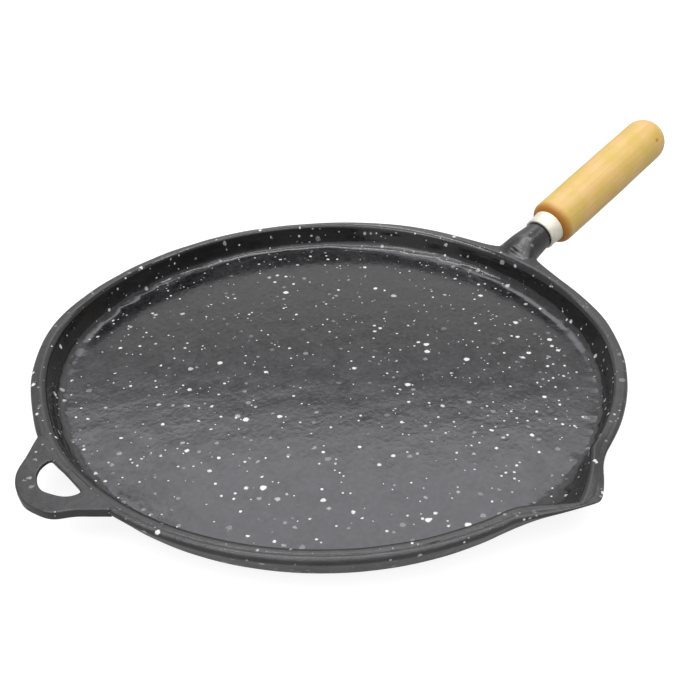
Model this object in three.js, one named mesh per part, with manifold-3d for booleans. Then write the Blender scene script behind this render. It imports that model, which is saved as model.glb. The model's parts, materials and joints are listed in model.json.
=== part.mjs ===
// A round cast-iron plancha in speckled black enamel: a shallow griddle plate with a raised rim, a pouring
// lip, a hanging loop and a cast stub, and a turned wooden grip that screws onto the stub.
// Sizes are in millimetres and +Z is up. The origin is the middle of the flat underside, and the handle
// leaves the plate along +X.

import * as THREE from "three";
import { mergeVertices } from "three/addons/utils/BufferGeometryUtils.js";
import Module from "manifold-3d";

const wasm = await Module();
wasm.setup();

const { degToRad } = THREE.MathUtils;

// Plate and rim: heights are from the underside, and insets from the rim's outer edge
const RIM_RADIUS = 152;
const RIM_HEIGHT = 20;
const RIM_LAND = 9;
const RIM_OUTER_ROUND = 2.5;
const RIM_INNER_ROUND = 1.5;
const BASE_INSET = 13;
const BASE_ROUND = 7;
const FLOOR_THICKNESS = 5;
const WALL_DRAFT = 2;
const FLOOR_FILLET = 4.5;

// Pouring lip: the rim drawn out to a blunt point, with a channel behind it
const LIP_AZIMUTH = -88.5;
const LIP_REACH = 14.2;
const LIP_HALF_WIDTH = 27;
const LIP_LAND = 9;
const CHANNEL_HALF_WIDTH = 26;
const LIP_TIP_ROUND = 4;
const LIP_FLARE_ROUND = 2.3;

// Hanging loop: a flat eye, a hair below the rim's land
const LOOP_AZIMUTH = 178.5;
const LOOP_DROP = 0.4;
const LOOP_CENTRE_INSET = 5.3;
const LOOP_OUTER_RADIUS = 23.3;
const LOOP_HOLE_RADIUS = 14.4;
const LOOP_HOLE_INSET = 3.2;
const LOOP_FLARE_ANGLE = 43;
const LOOP_THICKNESS = 4;
const LOOP_EDGE_ROUND = 1;

// Handle axis: it crosses the height of the rim this far beyond the rim, rising outwards
const HANDLE_REACH = 13;
const HANDLE_TILT = 16.85;

// Cast stub: places along the handle axis count from the crossing
const STUB_END = 13.5;
const STUB_LENGTH = 44;
const STUB_ROOT_RADIUS = 8.5;
const STUB_NECK_RADIUS = 10.2;
const STUB_NECK_FROM_END = 23;
const STUB_END_RADIUS = 8.6;
const STUB_FLARE_ROUND = 30;
const STUB_END_ROUND = 0.8;
const ROOT_BURY = 1.5;

// Saddle where the stub's top rises from the rim's land
const SADDLE_ANGLE = 58;
const SADDLE_ROUND = 9;

// Web at the stub's root: it fills the corners between the stub's sides and the rim
const WEB_FILLET = 13;
const WEB_SPREAD = 28;
const WEB_THICKNESS = 5.5;
const WEB_DROP = 0.7;
const WEB_TAPER = 5;

// Hanger stud: a machine thread for the stub and a pointed wood thread for the grip
const STUD_RADIUS = 4;
const STUD_CHAMFER = 0.8;
const THREAD_ENGAGEMENT = 20;
const WOOD_THREAD_RADIUS = 3.6;
const WOOD_THREAD_LENGTH = 38;
const WOOD_POINT = 6;
const HOLE_END_ROOM = 1.2;

// Split lock washer
const WASHER_RADIUS = 7.4;
const WASHER_THICKNESS = 2.1;
const WASHER_SPLIT = 1.4;
const WASHER_SPLIT_ANGLE = 20;

// Ferrule: a tapered sleeve with a rolled front lip, which laps over the stub's end
const FERRULE_LAP = 2;
const FERRULE_LENGTH = 10;
const FERRULE_WALL = 0.9;
const FERRULE_REAR_RADIUS = 11.05;
const FERRULE_LIP = 0.5;
const FERRULE_LIP_LENGTH = 1.6;
const FERRULE_LIP_ROUND = 0.45;

// Turned grip
const GRIP_LENGTH = 115;
const GRIP_FRONT_RADIUS = 14.6;
const GRIP_END_RADIUS = 15.6;
const GRIP_SHOULDER_ROUND = 4.4;
const GRIP_DOME = 12.5;

// Clearance left between pieces that touch
const FIT = 0.3;

// Fineness of the round forms
const RIM_STEP_DEGREES = 4;
const LIP_STEP_DEGREES = 1.25;
const LIP_FINE_DEGREES = 17.5;
const ARC_STEPS = 3;
const LOOP_ARC_STEPS = 12;
const RIM_SEGMENTS = 90;
const HANDLE_SEGMENTS = 36;
const STUD_SEGMENTS = 24;
const MERGE_DISTANCE = 1e-4;

// Room for the cutting solids beyond what they cut
const CUT_ROOM = 60;

// Radii of the plate, the loop and the handle's crossing, from the plate's middle
const landRadius = RIM_RADIUS - RIM_LAND;
const floorRadius = landRadius - WALL_DRAFT;
const baseRadius = RIM_RADIUS - BASE_INSET;
const loopCentreRadius = RIM_RADIUS - LOOP_CENTRE_INSET;
const loopHoleFlat = RIM_RADIUS - LOOP_HOLE_INSET;
const handleCrossing = RIM_RADIUS + HANDLE_REACH;

// Places along the handle axis, each from what it seats on
const ferruleFront = STUB_END - FERRULE_LAP;
const ferruleRear = ferruleFront + FERRULE_LENGTH;
const washerFront = STUB_END + FIT;
const tenonFace = washerFront + WASHER_THICKNESS + FIT;
const gripShoulder = ferruleRear + FIT;
const gripEnd = gripShoulder + GRIP_LENGTH;
const ferruleFrontRadius = stubRadius(ferruleFront) + FIT + FERRULE_WALL;
const studFront = STUB_END - THREAD_ENGAGEMENT;
const studStep = tenonFace - FIT;
const studEnd = studStep + WOOD_THREAD_LENGTH;

// The stub's own radius at a place along the axis, between its neck and its end
function stubRadius(along) {
  const share = (STUB_END - along) / STUB_NECK_FROM_END;
  return THREE.MathUtils.lerp(STUB_END_RADIUS, STUB_NECK_RADIUS, share);
}

// The ferrule's bore at a place along the axis: its taper less its wall
function ferruleBore(along) {
  const share = (along - ferruleFront) / FERRULE_LENGTH;
  return THREE.MathUtils.lerp(ferruleFrontRadius, FERRULE_REAR_RADIUS, share) - FERRULE_WALL;
}

// A corner of an outline, with the radius that rounds it and the steps of that arc
function corner(x, y, round = 0, steps = ARC_STEPS) {
  return { at: new THREE.Vector2(x, y), round, steps };
}

// Points of the arc that rounds the corner at this index, tangent to both of its sides
function cornerArc(corners, index) {
  const { at, round, steps } = corners[index];
  const back = corners[index - 1].at.clone().sub(at).normalize();
  const onward = corners[index + 1].at.clone().sub(at).normalize();
  const half = Math.acos(back.dot(onward)) / 2;
  const middle = back.clone().add(onward).normalize();
  const centre = middle.multiplyScalar(round / Math.sin(half)).add(at);
  const tangent = round / Math.tan(half);
  const first = back.multiplyScalar(tangent).add(at).sub(centre);
  const last = onward.multiplyScalar(tangent).add(at).sub(centre);
  const sweep = Math.atan2(first.cross(last), first.dot(last));
  return Array.from({ length: steps + 1 }, (_, k) =>
    first.clone().rotateAround(new THREE.Vector2(), (sweep * k) / steps).add(centre),
  );
}

// Points of an outline through its corners, in order
function outline(corners) {
  return corners.flatMap((c, i) => (c.round > 0 ? cornerArc(corners, i) : [c.at]));
}

// A closed geometry as a solid that can be joined and cut
function solidFrom(geometry) {
  const bare = geometry.clone();
  bare.deleteAttribute("normal");
  bare.deleteAttribute("uv");
  const merged = mergeVertices(bare, MERGE_DISTANCE);
  const mesh = new wasm.Mesh({
    numProp: 3,
    vertProperties: new Float32Array(merged.getAttribute("position").array),
    triVerts: new Uint32Array(merged.index.array),
  });
  return new wasm.Manifold(mesh);
}

// A solid as a geometry for a mesh
function geometryFrom(solid) {
  const mesh = solid.getMesh();
  const geometry = new THREE.BufferGeometry();
  geometry.setAttribute("position", new THREE.BufferAttribute(Float32Array.from(mesh.vertProperties), 3));
  geometry.setIndex(new THREE.BufferAttribute(Uint32Array.from(mesh.triVerts), 1));
  geometry.computeVertexNormals();
  return geometry;
}

// A solid turned about the plate's own axis
function turnedUpright(points, segments) {
  return solidFrom(new THREE.LatheGeometry(points, segments).rotateX(Math.PI / 2));
}

// How far an outline is drawn out at an arc distance from the lip's middle: straight flanks fall away from
// a rounded tip and flare softly into the round rim.
function drawnOut(distance, reach, halfWidth) {
  const slope = reach / halfWidth;
  const flank = reach - slope * (Math.hypot(distance, LIP_TIP_ROUND) - LIP_TIP_ROUND);
  if (flank > LIP_FLARE_ROUND) return flank;
  if (flank < -LIP_FLARE_ROUND) return 0;
  return (flank + LIP_FLARE_ROUND) ** 2 / (4 * LIP_FLARE_ROUND);
}

// Angles round the plate from the lip's middle, once round, closer together at the lip
function ringAngles() {
  const fine = Math.round(LIP_FINE_DEGREES / LIP_STEP_DEGREES);
  const coarse = Math.round((180 - LIP_FINE_DEGREES) / RIM_STEP_DEGREES);
  const half = [];
  for (let k = 0; k < fine; k++) half.push((LIP_FINE_DEGREES * k) / fine);
  for (let k = 0; k <= coarse; k++) {
    half.push(LIP_FINE_DEGREES + ((180 - LIP_FINE_DEGREES) * k) / coarse);
  }
  const before = half.slice(1).reverse().map((angle) => -angle);
  return [...before, ...half].map(degToRad);
}

// Plate, rim and lip: one turned section whose walls are drawn out towards the lip, more the higher they are
function dishSolid() {
  const outer = outline([
    corner(0, 0),
    corner(baseRadius, 0, BASE_ROUND),
    corner(RIM_RADIUS, RIM_HEIGHT, RIM_OUTER_ROUND),
    corner(RIM_RADIUS - RIM_LAND / 2, RIM_HEIGHT),
  ]);
  const inner = outline([
    corner(RIM_RADIUS - RIM_LAND / 2, RIM_HEIGHT),
    corner(landRadius, RIM_HEIGHT, RIM_INNER_ROUND),
    corner(floorRadius, FLOOR_THICKNESS, FLOOR_FILLET),
    corner(0, FLOOR_THICKNESS),
  ]).slice(1);
  const section = [...outer, ...inner];
  const angles = ringAngles();
  const channelReach = LIP_REACH + RIM_LAND - LIP_LAND;
  const geometry = new THREE.LatheGeometry(section, angles.length - 1);
  const position = geometry.getAttribute("position");
  for (let i = 0; i < position.count; i++) {
    const place = i % section.length;
    const angle = angles[Math.floor(i / section.length)];
    const { x: radius, y: height } = section[place];
    const distance = RIM_RADIUS * Math.abs(angle);
    const outside = place < outer.length;
    const low = outside ? 0 : FLOOR_THICKNESS;
    const share = (height - low) / (RIM_HEIGHT - low);
    const reach = outside
      ? drawnOut(distance, LIP_REACH, LIP_HALF_WIDTH)
      : drawnOut(distance, channelReach, CHANNEL_HALF_WIDTH);
    const azimuth = degToRad(LIP_AZIMUTH) + angle;
    const drawn = radius + reach * share;
    position.setXYZ(i, drawn * Math.cos(azimuth), drawn * Math.sin(azimuth), height);
  }
  return solidFrom(geometry);
}

// A solid moved out from the plate's middle to the loop, at a height
function atLoop(solid, height) {
  const geometry = geometryFrom(solid).translate(loopCentreRadius, 0, height);
  return solidFrom(geometry.rotateZ(degToRad(LOOP_AZIMUTH)));
}

// Flat eye of the hanging loop: a round end with straight flanks that spread under the rim
function loopSolid() {
  const flare = degToRad(LOOP_FLARE_ANGLE);
  const edge = LOOP_OUTER_RADIUS - LOOP_EDGE_ROUND;
  const apex = edge / Math.sin(flare);
  const spread = (apex + edge) * Math.tan(flare);
  const eye = new THREE.Shape(
    outline([corner(-edge, -spread), corner(apex, 0, edge, LOOP_ARC_STEPS), corner(-edge, spread)]),
  );
  const plate = new THREE.ExtrudeGeometry(eye, {
    depth: LOOP_THICKNESS - 2 * LOOP_EDGE_ROUND,
    bevelThickness: LOOP_EDGE_ROUND,
    bevelSize: LOOP_EDGE_ROUND,
    bevelSegments: 2,
  });
  return atLoop(solidFrom(plate), RIM_HEIGHT - LOOP_DROP - LOOP_THICKNESS + LOOP_EDGE_ROUND);
}

// Hole of the loop: a round cut with chamfered mouths, stopped by the flat side that the rim keeps
function loopHole() {
  const mouth = LOOP_HOLE_RADIUS + LOOP_EDGE_ROUND;
  const cut = turnedUpright(
    outline([
      corner(0, -CUT_ROOM),
      corner(mouth, -CUT_ROOM),
      corner(mouth, -LOOP_THICKNESS),
      corner(LOOP_HOLE_RADIUS, LOOP_EDGE_ROUND - LOOP_THICKNESS),
      corner(LOOP_HOLE_RADIUS, -LOOP_EDGE_ROUND),
      corner(mouth, 0),
      corner(mouth, CUT_ROOM),
      corner(0, CUT_ROOM),
    ]),
    HANDLE_SEGMENTS,
  );
  const kept = turnedUpright(
    outline([
      corner(0, -2 * CUT_ROOM),
      corner(loopHoleFlat, -2 * CUT_ROOM),
      corner(loopHoleFlat, 2 * CUT_ROOM),
      corner(0, 2 * CUT_ROOM),
    ]),
    RIM_SEGMENTS,
  );
  return atLoop(cut, RIM_HEIGHT - LOOP_DROP).subtract(kept);
}

// Frame of the handle: its own Y runs out along the handle axis from the crossing
const handle = new THREE.Group();
handle.position.set(handleCrossing, 0, RIM_HEIGHT);
handle.rotation.set(0, -degToRad(HANDLE_TILT), -Math.PI / 2);
handle.updateMatrix();

// A solid turned about the handle axis, in the plate's frame
function turnedOnHandle(points, segments) {
  return solidFrom(new THREE.LatheGeometry(points, segments).applyMatrix4(handle.matrix));
}

// Cast stub, from its root inside the wall to its faced end
function stubSolid() {
  const section = outline([
    corner(0, STUB_END - STUB_LENGTH),
    corner(STUB_ROOT_RADIUS, STUB_END - STUB_LENGTH),
    corner(STUB_NECK_RADIUS, STUB_END - STUB_NECK_FROM_END, STUB_FLARE_ROUND),
    corner(STUB_END_RADIUS, STUB_END, STUB_END_ROUND),
    corner(0, STUB_END),
  ]);
  return turnedOnHandle(section, HANDLE_SEGMENTS);
}

// Tapped socket in the stub's end
function stubSocket() {
  const socket = STUD_RADIUS + FIT;
  const socketEnd = studFront - HOLE_END_ROOM;
  const mouth = STUB_END + CUT_ROOM;
  const section = outline([
    corner(0, socketEnd),
    corner(socket, socketEnd),
    corner(socket, mouth),
    corner(0, mouth),
  ]);
  return turnedOnHandle(section, STUD_SEGMENTS);
}

// Web in the two corners between the stub and the rim, with a hollow round in each
function webSolid() {
  const side = STUB_END_RADIUS - ROOT_BURY;
  const rimAt = (across) => Math.sqrt(RIM_RADIUS ** 2 - across ** 2);
  const root = rimAt(side) - ROOT_BURY;
  const tail = rimAt(WEB_SPREAD) - WEB_TAPER;
  const web = new THREE.Shape(
    outline([
      corner(landRadius, 0),
      corner(tail, -WEB_SPREAD),
      corner(root, -side, WEB_FILLET, LOOP_ARC_STEPS),
      corner(handleCrossing, -side),
      corner(handleCrossing, side),
      corner(root, side, WEB_FILLET, LOOP_ARC_STEPS),
      corner(tail, WEB_SPREAD),
    ]),
  );
  const plate = new THREE.ExtrudeGeometry(web, {
    depth: WEB_THICKNESS - 2 * LOOP_EDGE_ROUND,
    bevelThickness: LOOP_EDGE_ROUND,
    bevelSize: LOOP_EDGE_ROUND,
    bevelSegments: 2,
  });
  return solidFrom(plate.translate(0, 0, RIM_HEIGHT - WEB_DROP - WEB_THICKNESS + LOOP_EDGE_ROUND));
}

// What the roots of the stub and the loop may not fill: the dish, the air over the rim and the ground
function clearOfRoots() {
  const low = FLOOR_THICKNESS - ROOT_BURY;
  const land = RIM_HEIGHT - ROOT_BURY;
  const step = RIM_RADIUS - RIM_OUTER_ROUND;
  const high = RIM_HEIGHT + CUT_ROOM;
  const back = step + (high - land) / Math.tan(degToRad(SADDLE_ANGLE));
  const wide = RIM_RADIUS + CUT_ROOM;
  const dish = turnedUpright(
    outline([
      corner(0, low),
      corner(floorRadius + ROOT_BURY - FLOOR_FILLET, low),
      corner(floorRadius + ROOT_BURY, low + FLOOR_FILLET),
      corner(landRadius + ROOT_BURY, land),
      corner(step, land, SADDLE_ROUND),
      corner(back, high),
      corner(0, high),
    ]),
    RIM_SEGMENTS,
  );
  const ground = turnedUpright(
    outline([corner(0, -CUT_ROOM), corner(wide, -CUT_ROOM), corner(wide, FIT), corner(0, FIT)]),
    HANDLE_SEGMENTS,
  );
  return dish.add(ground);
}

// Plate, rim, lip, loop and stub, cast as one piece
function panCasting() {
  const roots = stubSolid().add(webSolid()).add(loopSolid()).subtract(clearOfRoots());
  return geometryFrom(dishSolid().add(roots).subtract(loopHole()).subtract(stubSocket()));
}

// Tapered sleeve with a rolled front lip
function ferrule() {
  const lip = ferruleFrontRadius + FERRULE_LIP;
  const section = outline([
    corner(ferruleBore(ferruleRear), ferruleRear),
    corner(ferruleBore(ferruleFront), ferruleFront),
    corner(lip, ferruleFront, FERRULE_LIP_ROUND),
    corner(lip, ferruleFront + FERRULE_LIP_LENGTH, FERRULE_LIP_ROUND),
    corner(ferruleFrontRadius, ferruleFront + FERRULE_LIP_LENGTH),
    corner(FERRULE_REAR_RADIUS, ferruleRear),
    corner(ferruleBore(ferruleRear), ferruleRear),
  ]);
  return new THREE.LatheGeometry(section, HANDLE_SEGMENTS);
}

// Split ring that sits between the stub's end and the tenon
function lockWasher() {
  const hole = STUD_RADIUS + FIT;
  const ring = outline([
    corner(hole, washerFront),
    corner(WASHER_RADIUS, washerFront),
    corner(WASHER_RADIUS, washerFront + WASHER_THICKNESS),
    corner(hole, washerFront + WASHER_THICKNESS),
    corner(hole, washerFront),
  ]);
  const split = new THREE.BoxGeometry(WASHER_SPLIT, 3 * WASHER_THICKNESS, 2 * WASHER_RADIUS);
  split.rotateZ(degToRad(WASHER_SPLIT_ANGLE));
  split.translate(0, washerFront + WASHER_THICKNESS / 2, WASHER_RADIUS);
  return geometryFrom(solidFrom(new THREE.LatheGeometry(ring, STUD_SEGMENTS)).subtract(solidFrom(split)));
}

// Turned grip with a tenon inside the ferrule and a blind bore for the stud
function woodenGrip() {
  const bore = WOOD_THREAD_RADIUS + FIT;
  const boreEnd = studEnd + HOLE_END_ROOM;
  const body = outline([
    corner(0, boreEnd),
    corner(bore, boreEnd),
    corner(bore, tenonFace),
    corner(ferruleBore(tenonFace) - FIT, tenonFace),
    corner(ferruleBore(ferruleRear) - FIT, gripShoulder),
    corner(GRIP_FRONT_RADIUS, gripShoulder, GRIP_SHOULDER_ROUND),
    corner(GRIP_END_RADIUS, gripEnd - GRIP_DOME),
  ]);
  const dome = new THREE.EllipseCurve(0, gripEnd - GRIP_DOME, GRIP_END_RADIUS, GRIP_DOME, 0, Math.PI / 2);
  const section = [...body, ...dome.getPoints(3 * ARC_STEPS).slice(1)];
  section[section.length - 1].setX(0);
  return new THREE.LatheGeometry(section, HANDLE_SEGMENTS);
}

// Stud with a chamfered machine end, a step that meets the tenon and a pointed wood end
function hangerStud() {
  const section = outline([
    corner(0, studFront),
    corner(STUD_RADIUS - STUD_CHAMFER, studFront),
    corner(STUD_RADIUS, studFront + STUD_CHAMFER),
    corner(STUD_RADIUS, studStep),
    corner(WOOD_THREAD_RADIUS, studStep),
    corner(WOOD_THREAD_RADIUS, studEnd - WOOD_POINT),
    corner(0, studEnd),
  ]);
  return new THREE.LatheGeometry(section, STUD_SEGMENTS);
}

// Finishes
const blackEnamel = new THREE.MeshStandardMaterial({ color: 0x2c2d30, roughness: 0.25, metalness: 0 });
const brightFerrule = new THREE.MeshStandardMaterial({ color: 0xd8d5c9, roughness: 0.35, metalness: 1 });
const honeyWood = new THREE.MeshStandardMaterial({ color: 0xdca75a, roughness: 0.5, metalness: 0 });
const zincSteel = new THREE.MeshStandardMaterial({ color: 0xb4b6b5, roughness: 0.4, metalness: 1 });

// A named piece of the assembly
function piece(name, geometry, material) {
  const mesh = new THREE.Mesh(geometry, material);
  mesh.name = name;
  return mesh;
}

const plancha = new THREE.Group();
plancha.add(piece("pan_casting", panCasting(), blackEnamel));
handle.add(piece("lock_washer", lockWasher(), zincSteel));
handle.add(piece("ferrule", ferrule(), brightFerrule));
handle.add(piece("wooden_grip", woodenGrip(), honeyWood));
handle.add(piece("hanger_stud", hangerStud(), zincSteel));
plancha.add(handle);

export default plancha;
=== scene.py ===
"""Looks of a round plancha: one enamelled iron casting and a turned wooden handle that screws onto its stub.

Sizes are in millimetres until a mesh is made. The plate's axis is +Z, the handle leaves along +X in plan,
the pouring lip lies near -Y and the hanging loop near -X.
"""

import json
import logging
import math
from collections.abc import Sequence
from dataclasses import dataclass, replace
from enum import Enum

import bpy
import numpy as np
from mathutils import Matrix
from numpy.typing import NDArray


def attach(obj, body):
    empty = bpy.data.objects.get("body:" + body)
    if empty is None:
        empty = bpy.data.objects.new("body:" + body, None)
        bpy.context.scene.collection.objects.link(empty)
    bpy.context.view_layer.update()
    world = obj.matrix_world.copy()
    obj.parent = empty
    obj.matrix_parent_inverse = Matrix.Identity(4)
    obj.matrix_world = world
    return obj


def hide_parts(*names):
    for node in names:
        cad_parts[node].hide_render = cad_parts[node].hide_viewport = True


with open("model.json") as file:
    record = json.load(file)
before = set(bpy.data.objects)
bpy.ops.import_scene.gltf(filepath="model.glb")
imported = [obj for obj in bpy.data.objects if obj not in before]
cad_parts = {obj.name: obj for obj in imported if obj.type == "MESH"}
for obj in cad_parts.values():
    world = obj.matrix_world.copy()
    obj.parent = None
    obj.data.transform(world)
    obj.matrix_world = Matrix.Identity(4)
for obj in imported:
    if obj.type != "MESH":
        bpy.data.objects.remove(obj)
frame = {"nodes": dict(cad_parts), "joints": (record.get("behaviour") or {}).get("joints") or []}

Array = NDArray[np.float64]
Indices = NDArray[np.int64]
Colour = tuple[float, float, float]
Place = tuple[float, float, float]
Pair = tuple[float, float]
Material = bpy.types.Material
Object = bpy.types.Object
Tree = bpy.types.NodeTree
Node = bpy.types.Node
Outputs = bpy.types.NodeOutputs
Socket = bpy.types.NodeSocket

MM = 0.001
TURN = 2.0 * math.pi
QUARTER = 0.25 * TURN
UP = np.array([0.0, 0.0, 1.0])
# The clearance between pieces that meet.
FIT = 0.3
# The least length that a vector is divided by, and how near counts as level with the rim.
TINY, NEAR = 1e-9, 1e-6
# Where a section's points hold their height and how far in they lie.
HEIGHT, INWARD = 1, 4
COOL_LIGHT: Colour = (0.935, 0.925, 1.0)
log = logging.getLogger("plancha")


class Slot(Enum):
    """The record's material slots."""

    ENAMEL = "enamel"
    FERRULE = "ferrule"
    GRIP = "grip"
    FASTENER = "fastener"


class Body(Enum):
    """The bodies that the pieces ride on."""

    PAN = "pan"
    WASHER = "washer"
    HANDLE = "handle"


class Reach(Enum):
    """What a lamp shows on: every surface, gloss alone, or matt surfaces alone."""

    ALL = "all"
    GLOSS = "gloss"
    MATT = "matt"


def smooth_step(value: Array) -> Array:
    """Rises from 0 to 1 along a cubic that is level at both ends."""
    held = np.clip(value, 0.0, 1.0)
    return held * held * (3.0 - 2.0 * held)


def bell(distance: Array, spread: float) -> Array:
    """A bell curve of height 1: e to the power of minus the square of the distance in spreads."""
    return np.exp(-((distance / spread) ** 2))


def unit(vectors: Array) -> Array:
    """Scales each vector to a length of 1."""
    return vectors / np.maximum(np.linalg.norm(vectors, axis=-1, keepdims=True), TINY)


@dataclass(frozen=True)
class Corner:
    """A corner of a section: its place, its rounding, and how many parts the side that follows it has."""

    x: float
    y: float
    rounding: float = 0.0
    parts: int = 1

    @property
    def place(self) -> Array:
        """The corner as an array."""
        return np.array([self.x, self.y])


def rounded_path(corners: Sequence[Corner], arc_points: int = 9) -> Array:
    """Carries an open path through corners, with an arc tangent to both sides at each rounded one.

    The arc starts at rounding / tan(half the corner's angle) before the corner, its centre lies on the
    bisector at rounding / sin(half angle), and it turns by what the two sides turn. Straight sides are then
    divided.

    Args:
        corners: The corners in order, the first and last left sharp.
        arc_points: How many points stand on each arc.

    Returns:
        The points of the path, one row each.
    """
    path = [corners[0].place[None]]
    parts = [np.array([corners[0].parts])]
    for before, here, after in zip(corners, corners[1:], corners[2:]):
        back, onward = unit(before.place - here.place), unit(after.place - here.place)
        points = here.place[None]
        if here.rounding > 0.0:
            half = 0.5 * math.acos(float(np.clip(back @ onward, -1.0, 1.0)))
            centre = here.place + unit(back + onward) * here.rounding / math.sin(half)
            arm = here.place + back * here.rounding / math.tan(half) - centre
            side = math.copysign(1.0, float(back[1] * onward[0] - back[0] * onward[1]))
            turn = side * (math.pi - 2.0 * half) * np.linspace(0.0, 1.0, arc_points)
            cos, sin = np.cos(turn), np.sin(turn)
            points = [cos * arm[0] - sin * arm[1], sin * arm[0] + cos * arm[1]]
            points = centre + np.stack(points, axis=1)
        path.append(points)
        parts.append(np.array([1] * (len(points) - 1) + [here.parts]))
    path.append(corners[-1].place[None])
    return divided(np.concatenate(path), np.concatenate(parts))


def divided(path: Array, parts: Indices) -> Array:
    """Divides each side of a path evenly.

    Args:
        path: The points of the path.
        parts: How many parts the side after each point but the last has.

    Returns:
        The points with the added ones between them.
    """
    sides = np.diff(path, axis=0)
    starts = np.repeat(np.arange(len(sides)), parts)
    first = np.repeat(np.cumsum(parts) - parts, parts)
    share = (np.arange(parts.sum()) - first) / parts[starts]
    return np.vstack([path[starts] + sides[starts] * share[:, None], path[-1:]])


@dataclass(frozen=True)
class Shell:
    """A closed surface: its points, its quads and triangles, and how rough-cast each point is."""

    points: Array
    quads: Indices
    triangles: Indices
    cast: Array

    @classmethod
    def from_grid(cls, grid: Array, poles: bool = True, cast: Array | float = 0.0) -> "Shell":
        """Closes a grid of rows and columns into a surface whose faces look outward.

        Each row runs once round, so that its last column joins its first. With poles, the first and last rows
        each hold one place, which becomes a point with a fan of triangles. Without, the last row joins the
        first.

        Args:
            grid: The places, by row, column and coordinate.
            poles: Whether the rows end in two poles.
            cast: How rough-cast each place is, from 0 to 1.

        Returns:
            The closed surface.
        """
        rows, columns, _ = grid.shape
        index = np.arange(rows * columns).reshape(rows, columns)
        triangles = np.zeros((0, 3), dtype=np.int64)
        body = np.vstack([index, index[:1]])
        if poles:
            body = index[1:-1]
            ahead = np.roll(index, -1, axis=1)
            first = np.stack([np.full(columns, index[0, 0]), ahead[1], index[1]], axis=1)
            last = np.stack([index[-2], ahead[-2], np.full(columns, index[-1, 0])], axis=1)
            triangles = np.concatenate([first, last])
        right = np.roll(body, -1, axis=1)
        quads = np.stack([body[:-1], right[:-1], right[1:], body[1:]], axis=-1).reshape(-1, 4)
        used, order = np.unique(np.concatenate([quads.ravel(), triangles.ravel()]), return_inverse=True)
        rough = np.broadcast_to(cast, (rows, columns)).reshape(-1)[used]
        quads, triangles = order[: quads.size].reshape(-1, 4), order[quads.size:].reshape(-1, 3)
        made = cls(grid.reshape(-1, 3)[used], quads, triangles, rough)
        return made if made.volume() > 0.0 else made.reversed()

    @classmethod
    def capped(cls, grid: Array) -> "Shell":
        """Closes a tube of rows with a pole in the middle of each end row."""
        ends = [np.broadcast_to(grid[row].mean(axis=0), grid[row].shape)[None] for row in (0, -1)]
        return cls.from_grid(np.concatenate([ends[0], grid, ends[1]]))

    @classmethod
    def joined(cls, shells: Sequence["Shell"]) -> "Shell":
        """Puts several surfaces into one list of points and faces."""
        starts = np.cumsum([0] + [len(shell.points) for shell in shells])
        return cls(
            np.concatenate([shell.points for shell in shells]),
            np.concatenate([shell.quads + start for shell, start in zip(shells, starts)]),
            np.concatenate([shell.triangles + start for shell, start in zip(shells, starts)]),
            np.concatenate([shell.cast for shell in shells]),
        )

    def volume(self) -> float:
        """Adds up a sixth of each triangle's triple product.

        Returns:
            The enclosed volume, which is negative if the surface is inside out.
        """
        halves = np.concatenate([self.quads[:, [0, 1, 2]], self.quads[:, [0, 2, 3]], self.triangles])
        a, b, c = self.points[halves].transpose(1, 0, 2)
        return float(np.einsum("ij,ij->", a, np.cross(b, c)) / 6.0)

    def reversed(self) -> "Shell":
        """The same surface with every face turned over."""
        return Shell(self.points, self.quads[:, ::-1], self.triangles[:, ::-1], self.cast)

    def piece(self, name: str, material: Material, body: Body, node: str, slot: Slot) -> Object:
        """Makes the surface into a shaded piece that rides on a body and stands for a node of the frame.

        Args:
            name: The piece's name.
            material: Its finish.
            body: The body that it rides on.
            node: The node that it stands for.
            slot: The record's slot that its finish belongs to; not used.

        Returns:
            The piece.
        """
        mesh = bpy.data.meshes.new(name)
        mesh.from_pydata((self.points * MM).tolist(), [], self.quads.tolist() + self.triangles.tolist())
        mesh.shade_smooth()
        mesh.materials.append(material)
        mesh.attributes.new("cast", "FLOAT", "POINT").data.foreach_set("value", self.cast.astype(np.float32))
        mesh.update()
        made = bpy.data.objects.new(name, mesh)
        bpy.context.scene.collection.objects.link(made)
        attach(made, body.value)
        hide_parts(node)
        triangles = 2 * len(self.quads) + len(self.triangles)
        log.info("%s: %d points, %d triangles", name, len(self.points), triangles)
        return made


@dataclass(frozen=True)
class Waver:
    """A quiet unevenness: a sum of plane waves in seeded directions, with lengths spread about a mean one."""

    height: float
    length: float
    seed: int
    waves: int = 11
    spread: Pair = (0.6, 1.6)

    def at(self, points: Array) -> Array:
        """Adds up the waves: each is a sine of the distance along its heading in its own lengths.

        Args:
            points: The points, in any shape.

        Returns:
            The unevenness at each point, of about the stated height.
        """
        random = np.random.default_rng(self.seed)
        heading = unit(random.normal(size=(self.waves, 3)))
        length = self.length * random.uniform(*self.spread, self.waves)
        phase = random.uniform(0.0, TURN, self.waves)
        angle = points @ (TURN * heading / length[:, None]).T + phase
        return self.height * np.sin(angle).sum(axis=-1) / math.sqrt(self.waves)


def turned_from(azimuth: Array, middle: float) -> Array:
    """The turn from a middle azimuth in degrees to each azimuth in radians, up to half a turn either way."""
    return np.mod(azimuth - math.radians(middle) + math.pi, TURN) - math.pi


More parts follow.
